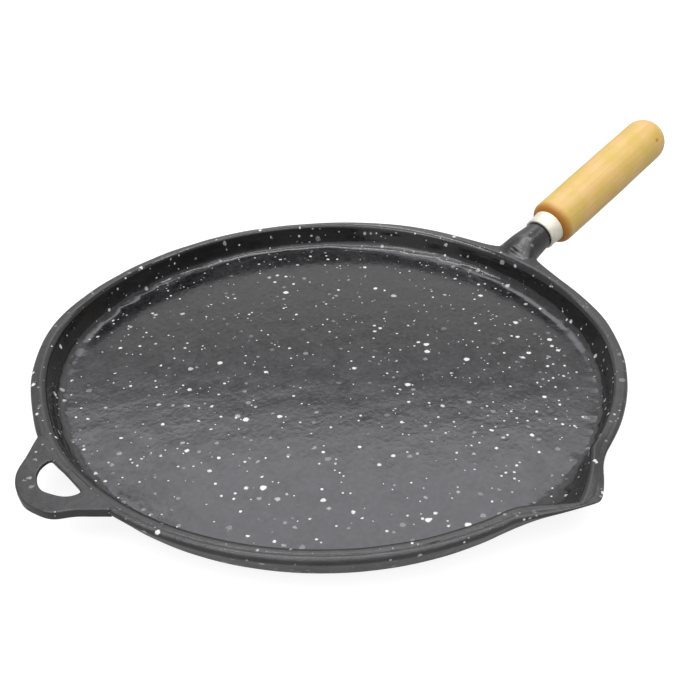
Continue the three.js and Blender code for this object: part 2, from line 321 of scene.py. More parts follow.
@dataclass(frozen=True)
class DrawnLip:
    """A place where the round rim is drawn out to a point.

    Across the lip the reach falls from the tip on straight flanks. A hyperbola rounds the tip, and a parabola
    eases the foot of each flank into the rim.
    """

    azimuth: float
    reach: float
    left_width: float
    right_width: float
    tip_round: float
    left_flare: float
    right_flare: float

    def drawn(self, azimuth: Array, radius: float) -> Array:
        """How far the rim is drawn out at each azimuth.

        Args:
            azimuth: Azimuths in radians.
            radius: The rim's radius, which turns an angle into a distance across the lip.

        Returns:
            The distance that the rim moves outward.
        """
        turn = turned_from(azimuth, self.azimuth)
        across = np.hypot(radius * turn, self.tip_round) - self.tip_round
        flank = self.reach - self.reach / np.where(turn < 0.0, self.left_width, self.right_width) * across
        flare = np.where(turn < 0.0, self.left_flare, self.right_flare)
        eased = (flank + flare) ** 2 / (4.0 * flare)
        return np.where(flank > flare, flank, np.where(flank < -flare, 0.0, eased))


@dataclass(frozen=True)
class Swell:
    """A stretch of the plate that stands out: a bell curve about an azimuth, with its spread in degrees."""

    azimuth: float
    height: float
    spread: float

    def at(self, azimuth: Array) -> Array:
        """How far it stands out at each azimuth in radians."""
        return self.height * bell(turned_from(azimuth, self.azimuth), math.radians(self.spread))


@dataclass(frozen=True)
class Web:
    """The rim's broadening beside the stub: a parabola along the rim, and a fillet up the stub's side."""

    side: float
    reach: float
    run: float
    fillet: float
    start: float = 8.0
    fade: float = 3.0
    most: float = 1.1

    def drawn(self, azimuth: Array, radius: float) -> Array:
        """How far the rim's top is drawn out at each azimuth, on the web's own side of the stub.

        Args:
            azimuth: Azimuths in radians.
            radius: The rim's radius, which turns an angle into a distance across the stub.

        Returns:
            The distance that the rim's top moves outward.
        """
        signed = radius * turned_from(azimuth, 0.0) * self.side
        across = np.maximum(signed, 0.0)
        fall = np.clip(1.0 - (across - self.start) / self.run, 0.0, self.most)
        climb = self.fillet * np.exp(-np.abs(across - self.start) / self.fade)
        return smooth_step(0.5 + 0.5 * signed / self.start) * (self.reach * fall**2 + climb)


@dataclass(frozen=True)
class Dish:
    """The round plate with its raised rim and pouring lip: a varied section carried round the axis."""

    rim_radius: float = 152.0
    rim_height: float = 20.0
    land: float = 9.0
    outer_round: float = 2.5
    rolled_round: float = 2.2
    rolled_inner_round: float = 3.0
    lip_outer_round: float = 0.9
    inner_round: float = 2.2
    wide_inner_round: float = 5.4
    wide_outer_round: float = 1.7
    base_inset: float = 13.0
    base_round: float = 7.0
    floor_height: float = 5.0
    wall_draft: float = 2.0
    floor_fillet: float = 4.2
    wide_fillet: float = 9.0
    wide_draft: float = 5.5
    spoon_fillet: float = 13.0
    lip_inset: float = 1.5
    land_parts: int = 22
    columns: int = 432
    gathering: float = 0.66
    lip: DrawnLip = DrawnLip(-88.9, 13.6, 31.0, 24.5, 2.0, 1.0, 4.5)
    channel: DrawnLip = DrawnLip(-91.1, 13.9, 20.0, 34.0, 1.4, 5.0, 0.8)
    lip_floor: float = 0.52
    lip_floor_start: float = 96.0
    webs: tuple[Web, ...] = (Web(-1.0, 7.2, 38.0, 9.5), Web(1.0, 3.0, 26.0, 6.0))
    web_depth: float = 5.0
    swells: tuple[Swell, ...] = (
        Swell(128.0, 3.0, 15.0),
        Swell(158.0, -1.0, 9.0),
        Swell(86.0, -0.6, 10.0),
        Swell(33.0, 1.4, 14.0),
        Swell(-38.0, 1.0, 12.0),
    )
    wide_places: tuple[Swell, ...] = (
        Swell(-8.0, 0.75, 34.0),
        Swell(24.0, 0.4, 14.0),
        Swell(172.0, 0.7, 36.0),
    )
    spooned_place: Swell = Swell(-90.0, 1.0, 8.0)
    rolled_place: Swell = Swell(-132.0, 1.0, 42.0)
    sharp_lip: Swell = Swell(-86.0, 1.0, 16.0)
    eye_recess: Swell = Swell(181.0, -2.6, 6.0)
    droops: tuple[Swell, ...] = (
        Swell(-81.0, 1.8, 6.0),
        Swell(142.0, 0.8, 15.0),
        Swell(50.0, 1.1, 46.0),
    )
    trim_line: Swell = Swell(-128.0, 0.6, 40.0)
    trim_radius: float = 147.3
    trim_width: float = 0.45
    trim_depth: float = 0.6
    trim_breaks: float = 4.0
    trim_fineness: float = 3.0
    wall_waver: Waver = Waver(0.10, 26.0, 3)
    fillet_waver: Waver = Waver(0.20, 12.0, 8)
    fillet_run: float = 2.0
    fillet_spread: float = 4.0
    fillet_top: float = 5.0
    rippled_place: Swell = Swell(106.0, 2.4, 13.0)
    floor_waver: Waver = Waver(0.03, 19.0, 5)
    skin: float = 0.5
    smooth_base: float = 3.0

    def corners(
        self, fillet: float, draft: float, outer: float, inner: float, inset: float = 0.0
    ) -> list[Corner]:
        """The section's corners, from the middle of the underside out, up and in to the middle of the floor.

        Args:
            fillet: The rounding between the wall and the floor.
            draft: How far the wall leans in from its top to the floor.
            outer: The rounding of the rim's outer edge.
            inner: The rounding of the rim's inner edge.
            inset: How far the rim's outer edge is drawn in.

        Returns:
            The corners.
        """
        land_radius = self.rim_radius - self.land
        return [
            Corner(0.0, 0.0, parts=9),
            Corner(self.rim_radius - self.base_inset, 0.0, self.base_round, 9),
            Corner(self.rim_radius - inset, self.rim_height, outer, self.land_parts),
            Corner(land_radius, self.rim_height, inner, 9),
            Corner(land_radius - draft, self.floor_height, fillet, 50),
            Corner(0.0, self.floor_height),
        ]

    def sections(self) -> Array:
        """The usual section, then those of the wide fillet, lip's edge, rolled front and spooned lip.

        Returns:
            Five sections of as many points, each with radius, height, the normal's two parts and how far in
            the point lies, which grows from 0 to 1 across the rim's top.
        """
        kinds = (
            (self.floor_fillet, self.wall_draft, self.outer_round, self.inner_round),
            (self.wide_fillet, self.wide_draft, self.wide_outer_round, self.wide_inner_round),
            (self.floor_fillet, self.wall_draft, self.lip_outer_round, self.inner_round, self.lip_inset),
            (self.floor_fillet, self.wall_draft, self.rolled_round, self.rolled_inner_round),
            (self.spoon_fillet, self.wall_draft, self.outer_round, self.inner_round),
        )
        paths = [rounded_path(self.corners(*kind), arc_points=11) for kind in kinds]
        made = np.stack([with_normals(path) for path in paths])
        edge = int(np.argmax(made[0, :, HEIGHT] >= self.rim_height - NEAR))
        inward = np.clip((np.arange(made.shape[1]) - edge) / self.land_parts, 0.0, 1.0)
        return np.concatenate([made, np.broadcast_to(inward[:, None], (*made.shape[:2], 1))], axis=-1)

    def azimuths(self) -> Array:
        """Azimuths once round, gathered at the lip by taking a sine wave about it from even ones."""
        even = np.arange(self.columns) * TURN / self.columns
        return even - self.gathering * np.sin(even) + math.radians(self.lip.azimuth)

    def surface(self, azimuth: Array, section: Array) -> Array:
        """Places points of a section at azimuths, with the lip, the webs, the swells and the unevenness.

        A point moves outward by the lip's reach and the swells, each times the share of the wall below it,
        and by the webs times a high power of it. The floor's edge follows the lip part of the way. The rim's
        outer edge is drawn in at the eye and droops in places. The point then moves along the section's
        normal by the unevenness, which is greatest in the fillet of the floor and strongest in its rippled
        place, and by the trim line, a narrow groove on the rim's top.

        Args:
            azimuth: Azimuths in radians, in any shape.
            section: Each point's radius, height, normal and how far in it lies, along one more axis.

        Returns:
            The places.
        """
        radius, height, out, up, inward = np.moveaxis(section, -1, 0)
        inside = inward >= 1.0
        foot = self.rim_radius - self.land - self.wall_draft - self.fillet_run
        below = np.where(inside, self.floor_height, 0.0)
        share = np.clip((height - below) / (self.rim_height - below), 0.0, 1.0)
        webs = sum(web.drawn(azimuth, self.rim_radius) for web in self.webs)
        lip = self.lip.drawn(azimuth, self.rim_radius)
        outer = lip + share**self.web_depth * webs + self.eye_recess.at(azimuth)
        spread = outer + inward * (self.channel.drawn(azimuth, self.rim_radius) - outer)
        reached = (radius - self.lip_floor_start) / (foot - self.lip_floor_start)
        carried = inside * (1.0 - share) * self.lip_floor * smooth_step(reached) * lip
        rounded = radius + carried + share * (spread + sum(one.at(azimuth) for one in self.swells))
        lowered = height - share * (1.0 - inward) * sum(one.at(azimuth) for one in self.droops)
        flat = np.stack([rounded * np.cos(azimuth), rounded * np.sin(azimuth), lowered], axis=-1)
        low = height < self.rim_height - self.fillet_top
        fillet = bell(radius - foot, self.fillet_spread) * inside * low
        on_floor = height < self.floor_height + self.skin
        rough = np.where(on_floor, self.floor_waver.at(flat), self.wall_waver.at(flat))
        rippled = 1.0 + self.rippled_place.at(azimuth)
        rough = rough + fillet * rippled * self.fillet_waver.at(flat)
        rough = rough * smooth_step((height - self.skin) / self.smooth_base)
        trim = bell(radius - self.trim_radius, self.trim_width) * (up > 0.5) * self.trim_line.at(azimuth)
        broken = self.trim_breaks * self.wall_waver.at(flat * self.trim_fineness)
        move = rough - np.maximum(trim * (self.trim_depth + broken), 0.0)
        radial = np.stack([np.cos(azimuth), np.sin(azimuth), np.zeros_like(azimuth)], axis=-1)
        return flat + move[..., None] * (out[..., None] * radial + up[..., None] * UP)

    def flank(self) -> Array:
        """The usual section's outer part, from the rim's inner edge out and down to the underside."""
        section = self.sections()[0]
        return section[: int(np.argmax(section[:, INWARD] >= 1.0)) + 1][::-1]

    def shell(self) -> Shell:
        """Carries the sections round: the usual one, with a share of each other one in its own places.

        Returns:
            The closed surface of the plate, with a pole in the middle of each face.
        """
        usual, *others = self.sections()
        azimuth = self.azimuths()
        widened = np.clip(sum(one.at(azimuth) for one in self.wide_places), 0.0, 1.0)
        places = (self.sharp_lip, self.rolled_place, self.spooned_place)
        shares = [widened] + [one.at(azimuth) for one in places]
        changes = [share[:, None] * (one - usual)[:, None] for share, one in zip(shares, others)]
        grid = usual[:, None] + sum(changes)
        raised = (grid[..., HEIGHT] - self.rim_height + self.skin) / self.skin
        cast = np.where(grid[..., INWARD] < 1.0, 1.0, smooth_step(raised))
        return Shell.from_grid(self.surface(np.broadcast_to(azimuth, grid.shape[:2]), grid), cast=cast)


def with_normals(path: Array) -> Array:
    """Adds to each point of a path the normal on its right-hand side.

    The normal is the path's slope, taken between the points on either side, turned by a right angle.

    Args:
        path: Two coordinates of each point.

    Returns:
        The coordinates and the normal's two parts.
    """
    slope = unit(np.gradient(path, axis=0))
    return np.hstack([path, slope[:, 1:], -slope[:, :1]])


@dataclass(frozen=True)
class HandleLine:
    """The line that the handle turns about: a place on it, its heading, and two headings across it."""

    origin: Array
    along: Array
    across: Array
    upward: Array

    @classmethod
    def from_joint(cls, name: str) -> "HandleLine":
        """Reads the line from a joint of the frame.

        Args:
            name: The joint's name.

        Returns:
            The line, in millimetres.
        """
        joint = next(one for one in frame["joints"] if one["name"] == name)
        along = unit(np.array(joint["axis"], dtype=float))
        across = np.array([0.0, 1.0, 0.0])
        return cls(np.array(joint["pos_m"], dtype=float) / MM, along, across, np.cross(along, across))

    @property
    def tilt(self) -> float:
        """How far the line rises from level, in radians."""
        return math.asin(float(self.along[2]))

    def place(self, distance: Array | float, radius: Array | float, angle: Array) -> Array:
        """Places points by their distance along the line, their radius from it and their angle round it.

        Args:
            distance: Distances from the line's origin.
            radius: Radii.
            angle: Angles from the heading across, towards the upward one.

        Returns:
            The places, in the common shape of the three and one axis of coordinates.
        """
        distance, radius, angle = np.broadcast_arrays(distance, radius, angle)
        sideways = (radius * np.cos(angle))[..., None] * self.across
        upward = (radius * np.sin(angle))[..., None] * self.upward
        return self.origin + distance[..., None] * self.along + sideways + upward

    def reach(self, node: str) -> tuple[float, float, float]:
        """Measures a node of the frame along the line and away from it.

        Args:
            node: The node's name.

        Returns:
            Where it starts and ends along the line, and its greatest radius.
        """
        vertices = frame["nodes"][node].data.vertices
        flat = np.empty(3 * len(vertices), dtype=np.float32)
        vertices.foreach_get("co", flat)
        offset = flat.reshape(-1, 3).astype(float) / MM - self.origin
        distance = offset @ self.along
        radius = np.linalg.norm(offset - distance[:, None] * self.along, axis=1)
        return float(distance.min()), float(distance.max()), float(radius.max())

    def turned(self, section: Array, columns: int) -> Array:
        """Carries a section of distances and radii once round the line.

        Args:
            section: Distance and radius of each point.
            columns: How many steps go round.

        Returns:
            The grid of places.
        """
        angle = np.arange(columns) * TURN / columns
        return self.place(section[:, :1], section[:, 1:], angle)


@dataclass(frozen=True)
class ScrewThread:
    """A right-hand thread: sloping flanks between flat crests and flat roots."""

    pitch: float
    crest: float
    depth: float
    crest_share: float = 0.14
    flank_share: float = 0.66

    def radius(self, distance: Array, angle: Array) -> Array:
        """The thread's radius at distances along the line and angles round it.

        The phase is the distance in pitches less the angle in turns. A triangle wave of it, cut off at both
        ends, gives the flat crest, the flanks and the flat root.

        Args:
            distance: Distances along the line.
            angle: Angles round it.

        Returns:
            The radii.
        """
        phase = np.mod(distance / self.pitch - angle / TURN, 1.0)
        sunk = (np.abs(2.0 * phase - 1.0) - self.crest_share) / self.flank_share
        return self.crest - self.depth * np.clip(sunk, 0.0, 1.0)


MACHINE_THREAD = ScrewThread(1.25, 4.0, 0.66)


@dataclass(frozen=True)
class HandleStub:
    """The cast stub: it grows out of the rim in a soft saddle, swells, and tapers to a tapped end."""

    foot_left: float = 18.0
    foot_right: float = 19.0
    foot_top: float = 0.2
    foot_bottom: float = 28.0
    neck_distance: float = -1.0
    neck_radius: float = 10.2
    neck_sweep: float = 20.0
    end_radius: float = 8.6
    end_round: float = 1.1
    taper: float = 0.13
    sunk: float = 0.06
    saddle_sweep: float = 0.35
    saddle_step: float = 0.03
    saddle_rows: int = 64
    wrinkle: Place = (149.6, -2.0, 22.6)
    wrinkle_spread: Place = (1.9, 2.8, 4.0)
    wrinkle_height: float = 0.55
    wrinkle_length: float = 2.4
    wrinkle_lean: float = 0.1
    mouth: float = 0.9
    mouth_round: float = 0.3
    mouth_depth: float = 0.8
    socket_depth: float = 22.0
    drill_point: float = 1.5
    thread: ScrewThread = MACHINE_THREAD
    thread_room: float = 0.14
    thread_rows: float = 6.0
    buried: Place = (2.0, 0.0, 1.0)
    cast: float = 0.55
    columns: int = 150
    gathering: float = 0.6
    waver: Waver = Waver(0.09, 13.0, 21)

    def angles(self) -> Array:
        """Angles once round, gathered at the top by taking a sine wave about it from even ones."""
        even = np.arange(self.columns) * TURN / self.columns
        return even - self.gathering * np.sin(even - QUARTER)

    def foot(self, dish: Dish, angle: Array, share: float) -> Array:
        """Places on the plate's outside, on an ellipse about the stub's root.

        The ellipse lies in azimuth and in distance down the plate's outer section from the rim's inner edge.

        Args:
            dish: The plate.
            angle: Angles round the stub.
            share: The ellipse's size, where 1 is the whole foot.

        Returns:
            The places.
        """
        flank = dish.flank()
        steps = np.linalg.norm(np.diff(flank[:, :2], axis=0), axis=1)
        travelled = np.concatenate([[0.0], np.cumsum(steps)])
        middle = 0.5 * (self.foot_top + self.foot_bottom)
        half = 0.5 * (self.foot_bottom - self.foot_top)
        down = middle - share * half * np.sin(angle)
        half_width = np.where(np.cos(angle) > 0.0, self.foot_left, self.foot_right)
        azimuth = share * half_width * np.cos(angle) / dish.rim_radius
        section = np.stack([np.interp(down, travelled, column) for column in flank.T], axis=-1)
        return dish.surface(azimuth, section)

    def saddle(self, dish: Dish, line: HandleLine, angle: Array) -> Array:
        """The soft root: cubic curves from the foot on the plate to the stub's neck.

        Each leaves along the surface of a plate without webs, a hair under it, towards the middle of the
        foot, and arrives along the stub's taper.

        Args:
            dish: The plate.
            line: The handle's line.
            angle: Angles round the stub.

        Returns:
            The grid, from the foot to the neck.
        """
        calm = replace(dish, webs=())
        foot = self.foot(calm, angle, 1.0)
        start = foot - self.sunk * UP
        inner = self.foot(calm, angle, 1.0 - self.saddle_step)
        leaving = (inner - foot) / self.saddle_step * self.saddle_sweep
        finish = line.place(self.neck_distance, self.neck_radius, angle)
        outward = line.place(0.0, 1.0, angle) - line.origin
        arriving = self.neck_sweep * (line.along - self.taper * outward)
        t = np.linspace(0.0, 1.0, self.saddle_rows)[:, None, None]
        return (
            (2 * t**3 - 3 * t**2 + 1) * start
            + (t**3 - 2 * t**2 + t) * leaving
            + (3 * t**2 - 2 * t**3) * finish
            + (t**3 - t**2) * arriving
        )

    def shell(self, dish: Dish, line: HandleLine, end: float) -> Shell:
        """The closed surface of the stub: buried root, saddle, shaft, faced end and tapped socket.

        Args:
            dish: The plate that it grows from.
            line: The handle's line.
            end: Where the stub's end face lies along the line.

        Returns:
            The surface.
        """
        angle = self.angles()
        root = self.saddle(dish, line, angle)
        shaft = rounded_path(
            [
                Corner(self.neck_distance, self.neck_radius, parts=9),
                Corner(end, self.end_radius, self.end_round, 3),
                Corner(end, self.thread.crest + self.mouth, self.mouth_round, 2),
                Corner(end - self.mouth_depth, self.thread.crest + self.thread_room),
            ],
            arc_points=7,
        )[1:]
        step = -self.thread.pitch / self.thread_rows
        distance = np.arange(end - self.mouth_depth, end - self.socket_depth, step)[1:, None]
        bore = line.place(distance, self.thread.radius(distance, angle) + self.thread_room, angle)
        bottom = line.place(end - self.socket_depth - self.drill_point, 0.0, angle)
        buried = self.foot(dish, np.zeros(1), 0.0) - np.array(self.buried)
        buried = np.broadcast_to(buried, (1, self.columns, 3))
        shaft = line.place(shaft[:, :1], shaft[:, 1:], angle)
        shown = self.weathered(np.concatenate([root, shaft]), len(root), line)
        grid = np.concatenate([buried, shown, bore, bottom[None]])
        cast = np.full(grid.shape[:2], self.cast)
        cast[len(shown) + 1:] = 0.0
        return Shell.from_grid(grid, cast=cast)

    def weathered(self, grid: Array, root_rows: int, line: HandleLine) -> Array:
        """Adds the casting's unevenness and the wrinkle that the glaze left on the saddle.

        The unevenness moves points away from the handle's line, and fades out at the foot and at the faced
        end. The wrinkle moves them along the surface's normal by a wave along the stub under a bell curve.

        Args:
            grid: The root and the shaft.
            root_rows: How many rows the root has.
            line: The handle's line.

        Returns:
            The grid, moved.
        """
        offset = grid - line.origin
        away = unit(offset - (offset @ line.along)[..., None] * line.along)
        rising = np.linspace(0.0, 1.0, root_rows)
        falling = np.linspace(1.0, 0.0, len(grid) - root_rows)
        swing = self.waver.at(grid) * np.concatenate([rising, falling])[:, None]
        around = np.roll(grid, -1, axis=1) - np.roll(grid, 1, axis=1)
        normal = unit(np.cross(around, np.gradient(grid, axis=0)))
        normal = normal * np.sign((normal * away).sum(axis=-1, keepdims=True))
        offset = grid - np.array(self.wrinkle)
        along, across, upward = (offset @ one for one in (line.along, line.across, line.upward))
        long, wide, high = self.wrinkle_spread
        near = bell(along, long) * bell(across, wide) * bell(upward, high)
        phase = (along - self.wrinkle_lean * across) / self.wrinkle_length
        wave = self.wrinkle_height * np.cos(TURN * phase) * near
        return grid + swing[..., None] * away - wave[..., None] * normal


@dataclass(frozen=True)
class HangingLoop:
    """The flat eye at the rim: a ring with rounded edges round a finger hole, flush with the rim's top."""

    azimuth: float = 179.0
    centre_inset: float = 5.3
    middle_reach: float = 2.4
    hole_reach: float = 11.2
    hole_half_width: float = 13.8
    hole_aside: float = 0.7
    hole_inset: float = 4.4
    hole_flat: float = 149.3
    hole_softness: float = 9.0
    outer_radius: float = 23.3
    flare_angle: float = 43.0
    lap: float = 145.4
    thickness: float = 4.4
    hole_thickness: float = 1.9
    edge_round: float = 0.85
    corner_points: int = 6
    side_shares: tuple[float, ...] = (0.0, 0.06, 0.3, 0.5, 0.7, 0.94)
    proud: float = 0.06
    tucked: float = 0.08
    lap_start: float = 0.6
    lap_rise: float = 3.6
    bulge: float = 2.2
    bulge_angle: float = 58.0
    bulge_spread: float = 30.0
    rows: int = 200
    edge_waver: Waver = Waver(0.22, 11.0, 33)
    wavering: float = 1.9
    least_cosine: float = 1e-3

    def edges(self, dish: Dish) -> tuple[Array, Array, Array]:
        """The ring's two edges, as distances from a place in the middle of the hole, by angle about it.

        The hole is an ellipse cut off by a line along the rim, and a power mean of the two distances rounds
        its corners. The outside is a circle, then its two tangents, and a line across the rim's top. The
        distance to the ellipse is the greater root of the quadratic that its equation gives along each angle.

        Args:
            dish: The plate.

        Returns:
            The angles, the distances to the hole's edge and the distances to the outside.
        """
        angle = np.linspace(-math.pi, math.pi, self.rows, endpoint=False)
        middle = dish.rim_radius + self.middle_reach
        offset = self.middle_reach + self.centre_inset
        cos, sin = np.cos(angle), np.sin(angle)
        inward = np.maximum(-cos, self.least_cosine)
        ahead, beside = cos / self.hole_reach, sin / self.hole_half_width
        start, aside = self.hole_inset / self.hole_reach, -self.hole_aside / self.hole_half_width
        square = ahead**2 + beside**2
        mixed = ahead * start + beside * aside
        hole = (-mixed + np.sqrt(mixed**2 - square * (start**2 + aside**2 - 1.0))) / square
        outside = -offset * cos + np.sqrt(self.outer_radius**2 - (offset * sin) ** 2)
        flat = (middle - self.hole_flat) / inward
        hole = (hole**-self.hole_softness + flat**-self.hole_softness) ** (-1.0 / self.hole_softness)
        lean = QUARTER - math.radians(self.flare_angle)
        touch = math.atan2(self.outer_radius * math.sin(lean), self.outer_radius * math.cos(lean) - offset)
        facing = np.maximum(np.cos(np.abs(angle) - lean), self.least_cosine)
        tangent = (self.outer_radius - offset * math.cos(lean)) / facing
        outside = np.where(np.abs(angle) > touch, tangent, outside)
        swelling = bell(angle - math.radians(self.bulge_angle), math.radians(self.bulge_spread))
        return angle, hole, np.minimum(outside + self.bulge * swelling, (middle - self.lap) / inward)

    def shell(self, dish: Dish) -> Shell:
        """The closed surface of the loop: a rectangle with rounded corners, carried round the hole.

        Each corner is a quarter circle about the corner of a smaller rectangle. The top stands a hair proud
        of the rim outside, sinks a hair under its top inside, and has the rim's own unevenness.

        Args:
            dish: The plate that it grows from.

        Returns:
            The surface.
        """
        angle, hole, outside = self.edges(dish)
        section = np.array([[1.0, 1.0], [0.0, 1.0], [0.0, 0.0], [1.0, 0.0]])
        swing = np.linspace(0.0, QUARTER, self.corner_points) + np.arange(4)[:, None] * QUARTER
        inset_x = (section[:, :1] * 2.0 - 1.0) * -self.edge_round + self.edge_round * np.cos(swing)
        inset_z = (section[:, 1:] * 2.0 - 1.0) * -self.edge_round + self.edge_round * np.sin(swing)
        width = (outside - hole)[:, None]
        across = hole[:, None] + np.repeat(section[:, 0], self.corner_points) * width + inset_x.ravel()
        thick = np.where(section[:, 0] > 0.5, self.thickness, self.hole_thickness)
        high = np.repeat((section[:, 1] - 1.0) * thick, self.corner_points) + inset_z.ravel()
        across, high = self.supported(across, np.broadcast_to(high, across.shape))
        turn = math.radians(self.azimuth)
        out = np.array([math.cos(turn), math.sin(turn), 0.0])
        side = np.array([-math.sin(turn), math.cos(turn), 0.0])
        heading = (np.cos(angle)[:, None] * out + np.sin(angle)[:, None] * side)[:, None]
        plan = (dish.rim_radius + self.middle_reach) * out + across[..., None] * heading
        free = (np.abs(angle) < self.wavering)[:, None, None]
        plan = plan + self.edge_waver.at(plan)[..., None] * heading * free
        reached = (np.linalg.norm(plan, axis=-1) - self.lap - self.lap_start) / self.lap_rise
        top = dish.rim_height - self.tucked + (self.tucked + self.proud) * smooth_step(reached)
        level = top + high + dish.wall_waver.at(plan + dish.rim_height * UP)
        return Shell.from_grid(plan + level[..., None] * UP, poles=False, cast=1.0)

    def supported(self, across: Array, high: Array) -> tuple[Array, Array]:
        """Adds points to each flat side of the ring's section, so that its shading stays flat.

        Args:
            across: Distances across, by row and column.
            high: Heights, by row and column.

        Returns:
            Both with five points added on each side between two corners.
        """
        columns = across.shape[1]
        flat = np.arange(1, columns + 1) % self.corner_points == 0
        counts = np.where(flat, len(self.side_shares), 1)
        starts = np.repeat(np.arange(columns), counts)
        first = np.repeat(np.cumsum(counts) - counts, counts)
        shares = np.array(self.side_shares)[np.arange(len(starts)) - first]
        ahead = (starts + 1) % columns
        return (
            across[:, starts] + (across[:, ahead] - across[:, starts]) * shares,
            high[:, starts] + (high[:, ahead] - high[:, starts]) * shares,
        )


@dataclass(frozen=True)
class PanCasting:
    """The whole casting: plate, stub and hanging loop."""

    dish: Dish = Dish()
    stub: HandleStub = HandleStub()
    loop: HangingLoop = HangingLoop()

    def build(self, line: HandleLine, material: Material) -> Object:
        """Builds the casting, with its stub ending a clearance short of the washer.

        Args:
            line: The handle's line.
            material: The enamel.

        Returns:
            The piece.
        """
        end = line.reach("lock_washer")[0] - FIT
        shells = [self.dish.shell(), self.stub.shell(self.dish, line, end), self.loop.shell(self.dish)]
        return Shell.joined(shells).piece("enamelled_casting", material, Body.PAN, "pan_casting", Slot.ENAMEL)


@dataclass(frozen=True)
class Ferrule:
    """The bright sleeve: a thin cone of sheet with a rolled front lip."""

    front_radius: float = 9.9
    wall: float = 0.9
    lip: float = 0.6
    lip_length: float = 1.7
    step: float = 0.08
    seam: float = 0.5
    columns: int = 120

    def build(self, line: HandleLine, material: Material) -> Object:
        """Turns the sleeve's closed section round the handle's line.

        Args:
            line: The handle's line.
            material: The bright metal.

        Returns:
            The piece.
        """
        front, rear, rear_radius = line.reach("ferrule")
        seam = Corner(front + self.seam, self.front_radius - self.wall)
        corners = [
            seam,
            Corner(front, self.front_radius - self.wall, 0.35),
            Corner(front, self.front_radius + self.lip, 0.75),
            Corner(front + self.lip_length, self.front_radius + self.lip, 0.7),
            Corner(front + self.lip_length, self.front_radius + self.step, 0.35, 14),
            Corner(rear, rear_radius, 0.3),
            Corner(rear, rear_radius - self.wall, 0.25, 12),
            seam,
        ]
        section = rounded_path(corners, arc_points=6)[:-1]
        shell = Shell.from_grid(line.turned(section, self.columns), poles=False)
        return shell.piece("spun_ferrule", material, Body.HANDLE, "ferrule", Slot.FERRULE)


@dataclass(frozen=True)
class WoodenGrip:
    """The turned grip: a round shoulder behind the ferrule, a nearly straight barrel and a domed end."""

    shoulder_round: float = 4.6
    shoulder_run: float = 3.0
    shoulder_rise: float = 0.06
    front_radius: float = 14.6
    end_relief: float = 0.95
    swelling: float = 0.18
    dome: float = 12.5
    dome_power: float = 0.94
    bore_radius: float = 3.9
    bore_room: float = 1.0
    bore_point: float = 3.0
    tenon_radius: float = 8.6
    tenon_taper: float = 0.6
    barrel_rows: int = 48
    dome_rows: int = 26
    columns: int = 144
    waver: Waver = Waver(0.07, 34.0, 44)
    waver_rise: float = 4.0

    def build(self, line: HandleLine, material: Material) -> Object:
        """Turns the grip's section round the handle's line, with the slight unevenness of sanding by hand.

        The barrel swells a little along a sine. The end is a quarter of an ellipse as deep as the dome.

        Args:
            line: The handle's line.
            material: The lacquered wood.

        Returns:
            The piece.
        """
        front, end, radius = line.reach("wooden_grip")
        radius = radius - self.end_relief
        shoulder = line.reach("ferrule")[1] + FIT
        bottom = line.reach("hanger_stud")[1] + self.bore_room
        barrel_start = shoulder + self.shoulder_round + self.shoulder_run
        lead = rounded_path(
            [
                Corner(bottom, 0.0, parts=2),
                Corner(bottom - self.bore_point, self.bore_radius, 0.0, 12),
                Corner(front, self.bore_radius, 0.3, 4),
                Corner(front, self.tenon_radius, 0.4, 5),
                Corner(shoulder, self.tenon_radius + self.tenon_taper, 0.0, 3),
                Corner(shoulder, self.front_radius, self.shoulder_round, 2),
                Corner(barrel_start, self.front_radius + self.shoulder_rise),
            ],
            arc_points=12,
        )
        along = np.linspace(0.0, 1.0, self.barrel_rows)[1:]
        straight = end - self.dome
        start, broad = lead[-1]
        barrel = broad + (radius - broad) * along + self.swelling * np.sin(np.pi * along)
        barrel = np.stack([start + (straight - start) * along, barrel], axis=1)
        swing = np.linspace(0.0, QUARTER, self.dome_rows)[1:]
        dome = [straight + self.dome * np.sin(swing), radius * np.cos(swing) ** self.dome_power]
        section = np.concatenate([lead, barrel, np.abs(np.stack(dome, axis=1))])
        grid = line.turned(section, self.columns)
        middle = line.place(section[:, :1], 0.0, np.zeros(self.columns))
        outside = section[:, 1:] > self.front_radius - self.waver_rise
        shown = smooth_step((section[:, :1] - shoulder) / self.waver_rise) * outside
        grid = grid + (grid - middle) / self.front_radius * (shown * self.waver.at(grid))[..., None]
        return Shell.from_grid(grid).piece("turned_grip", material, Body.HANDLE, "wooden_grip", Slot.GRIP)


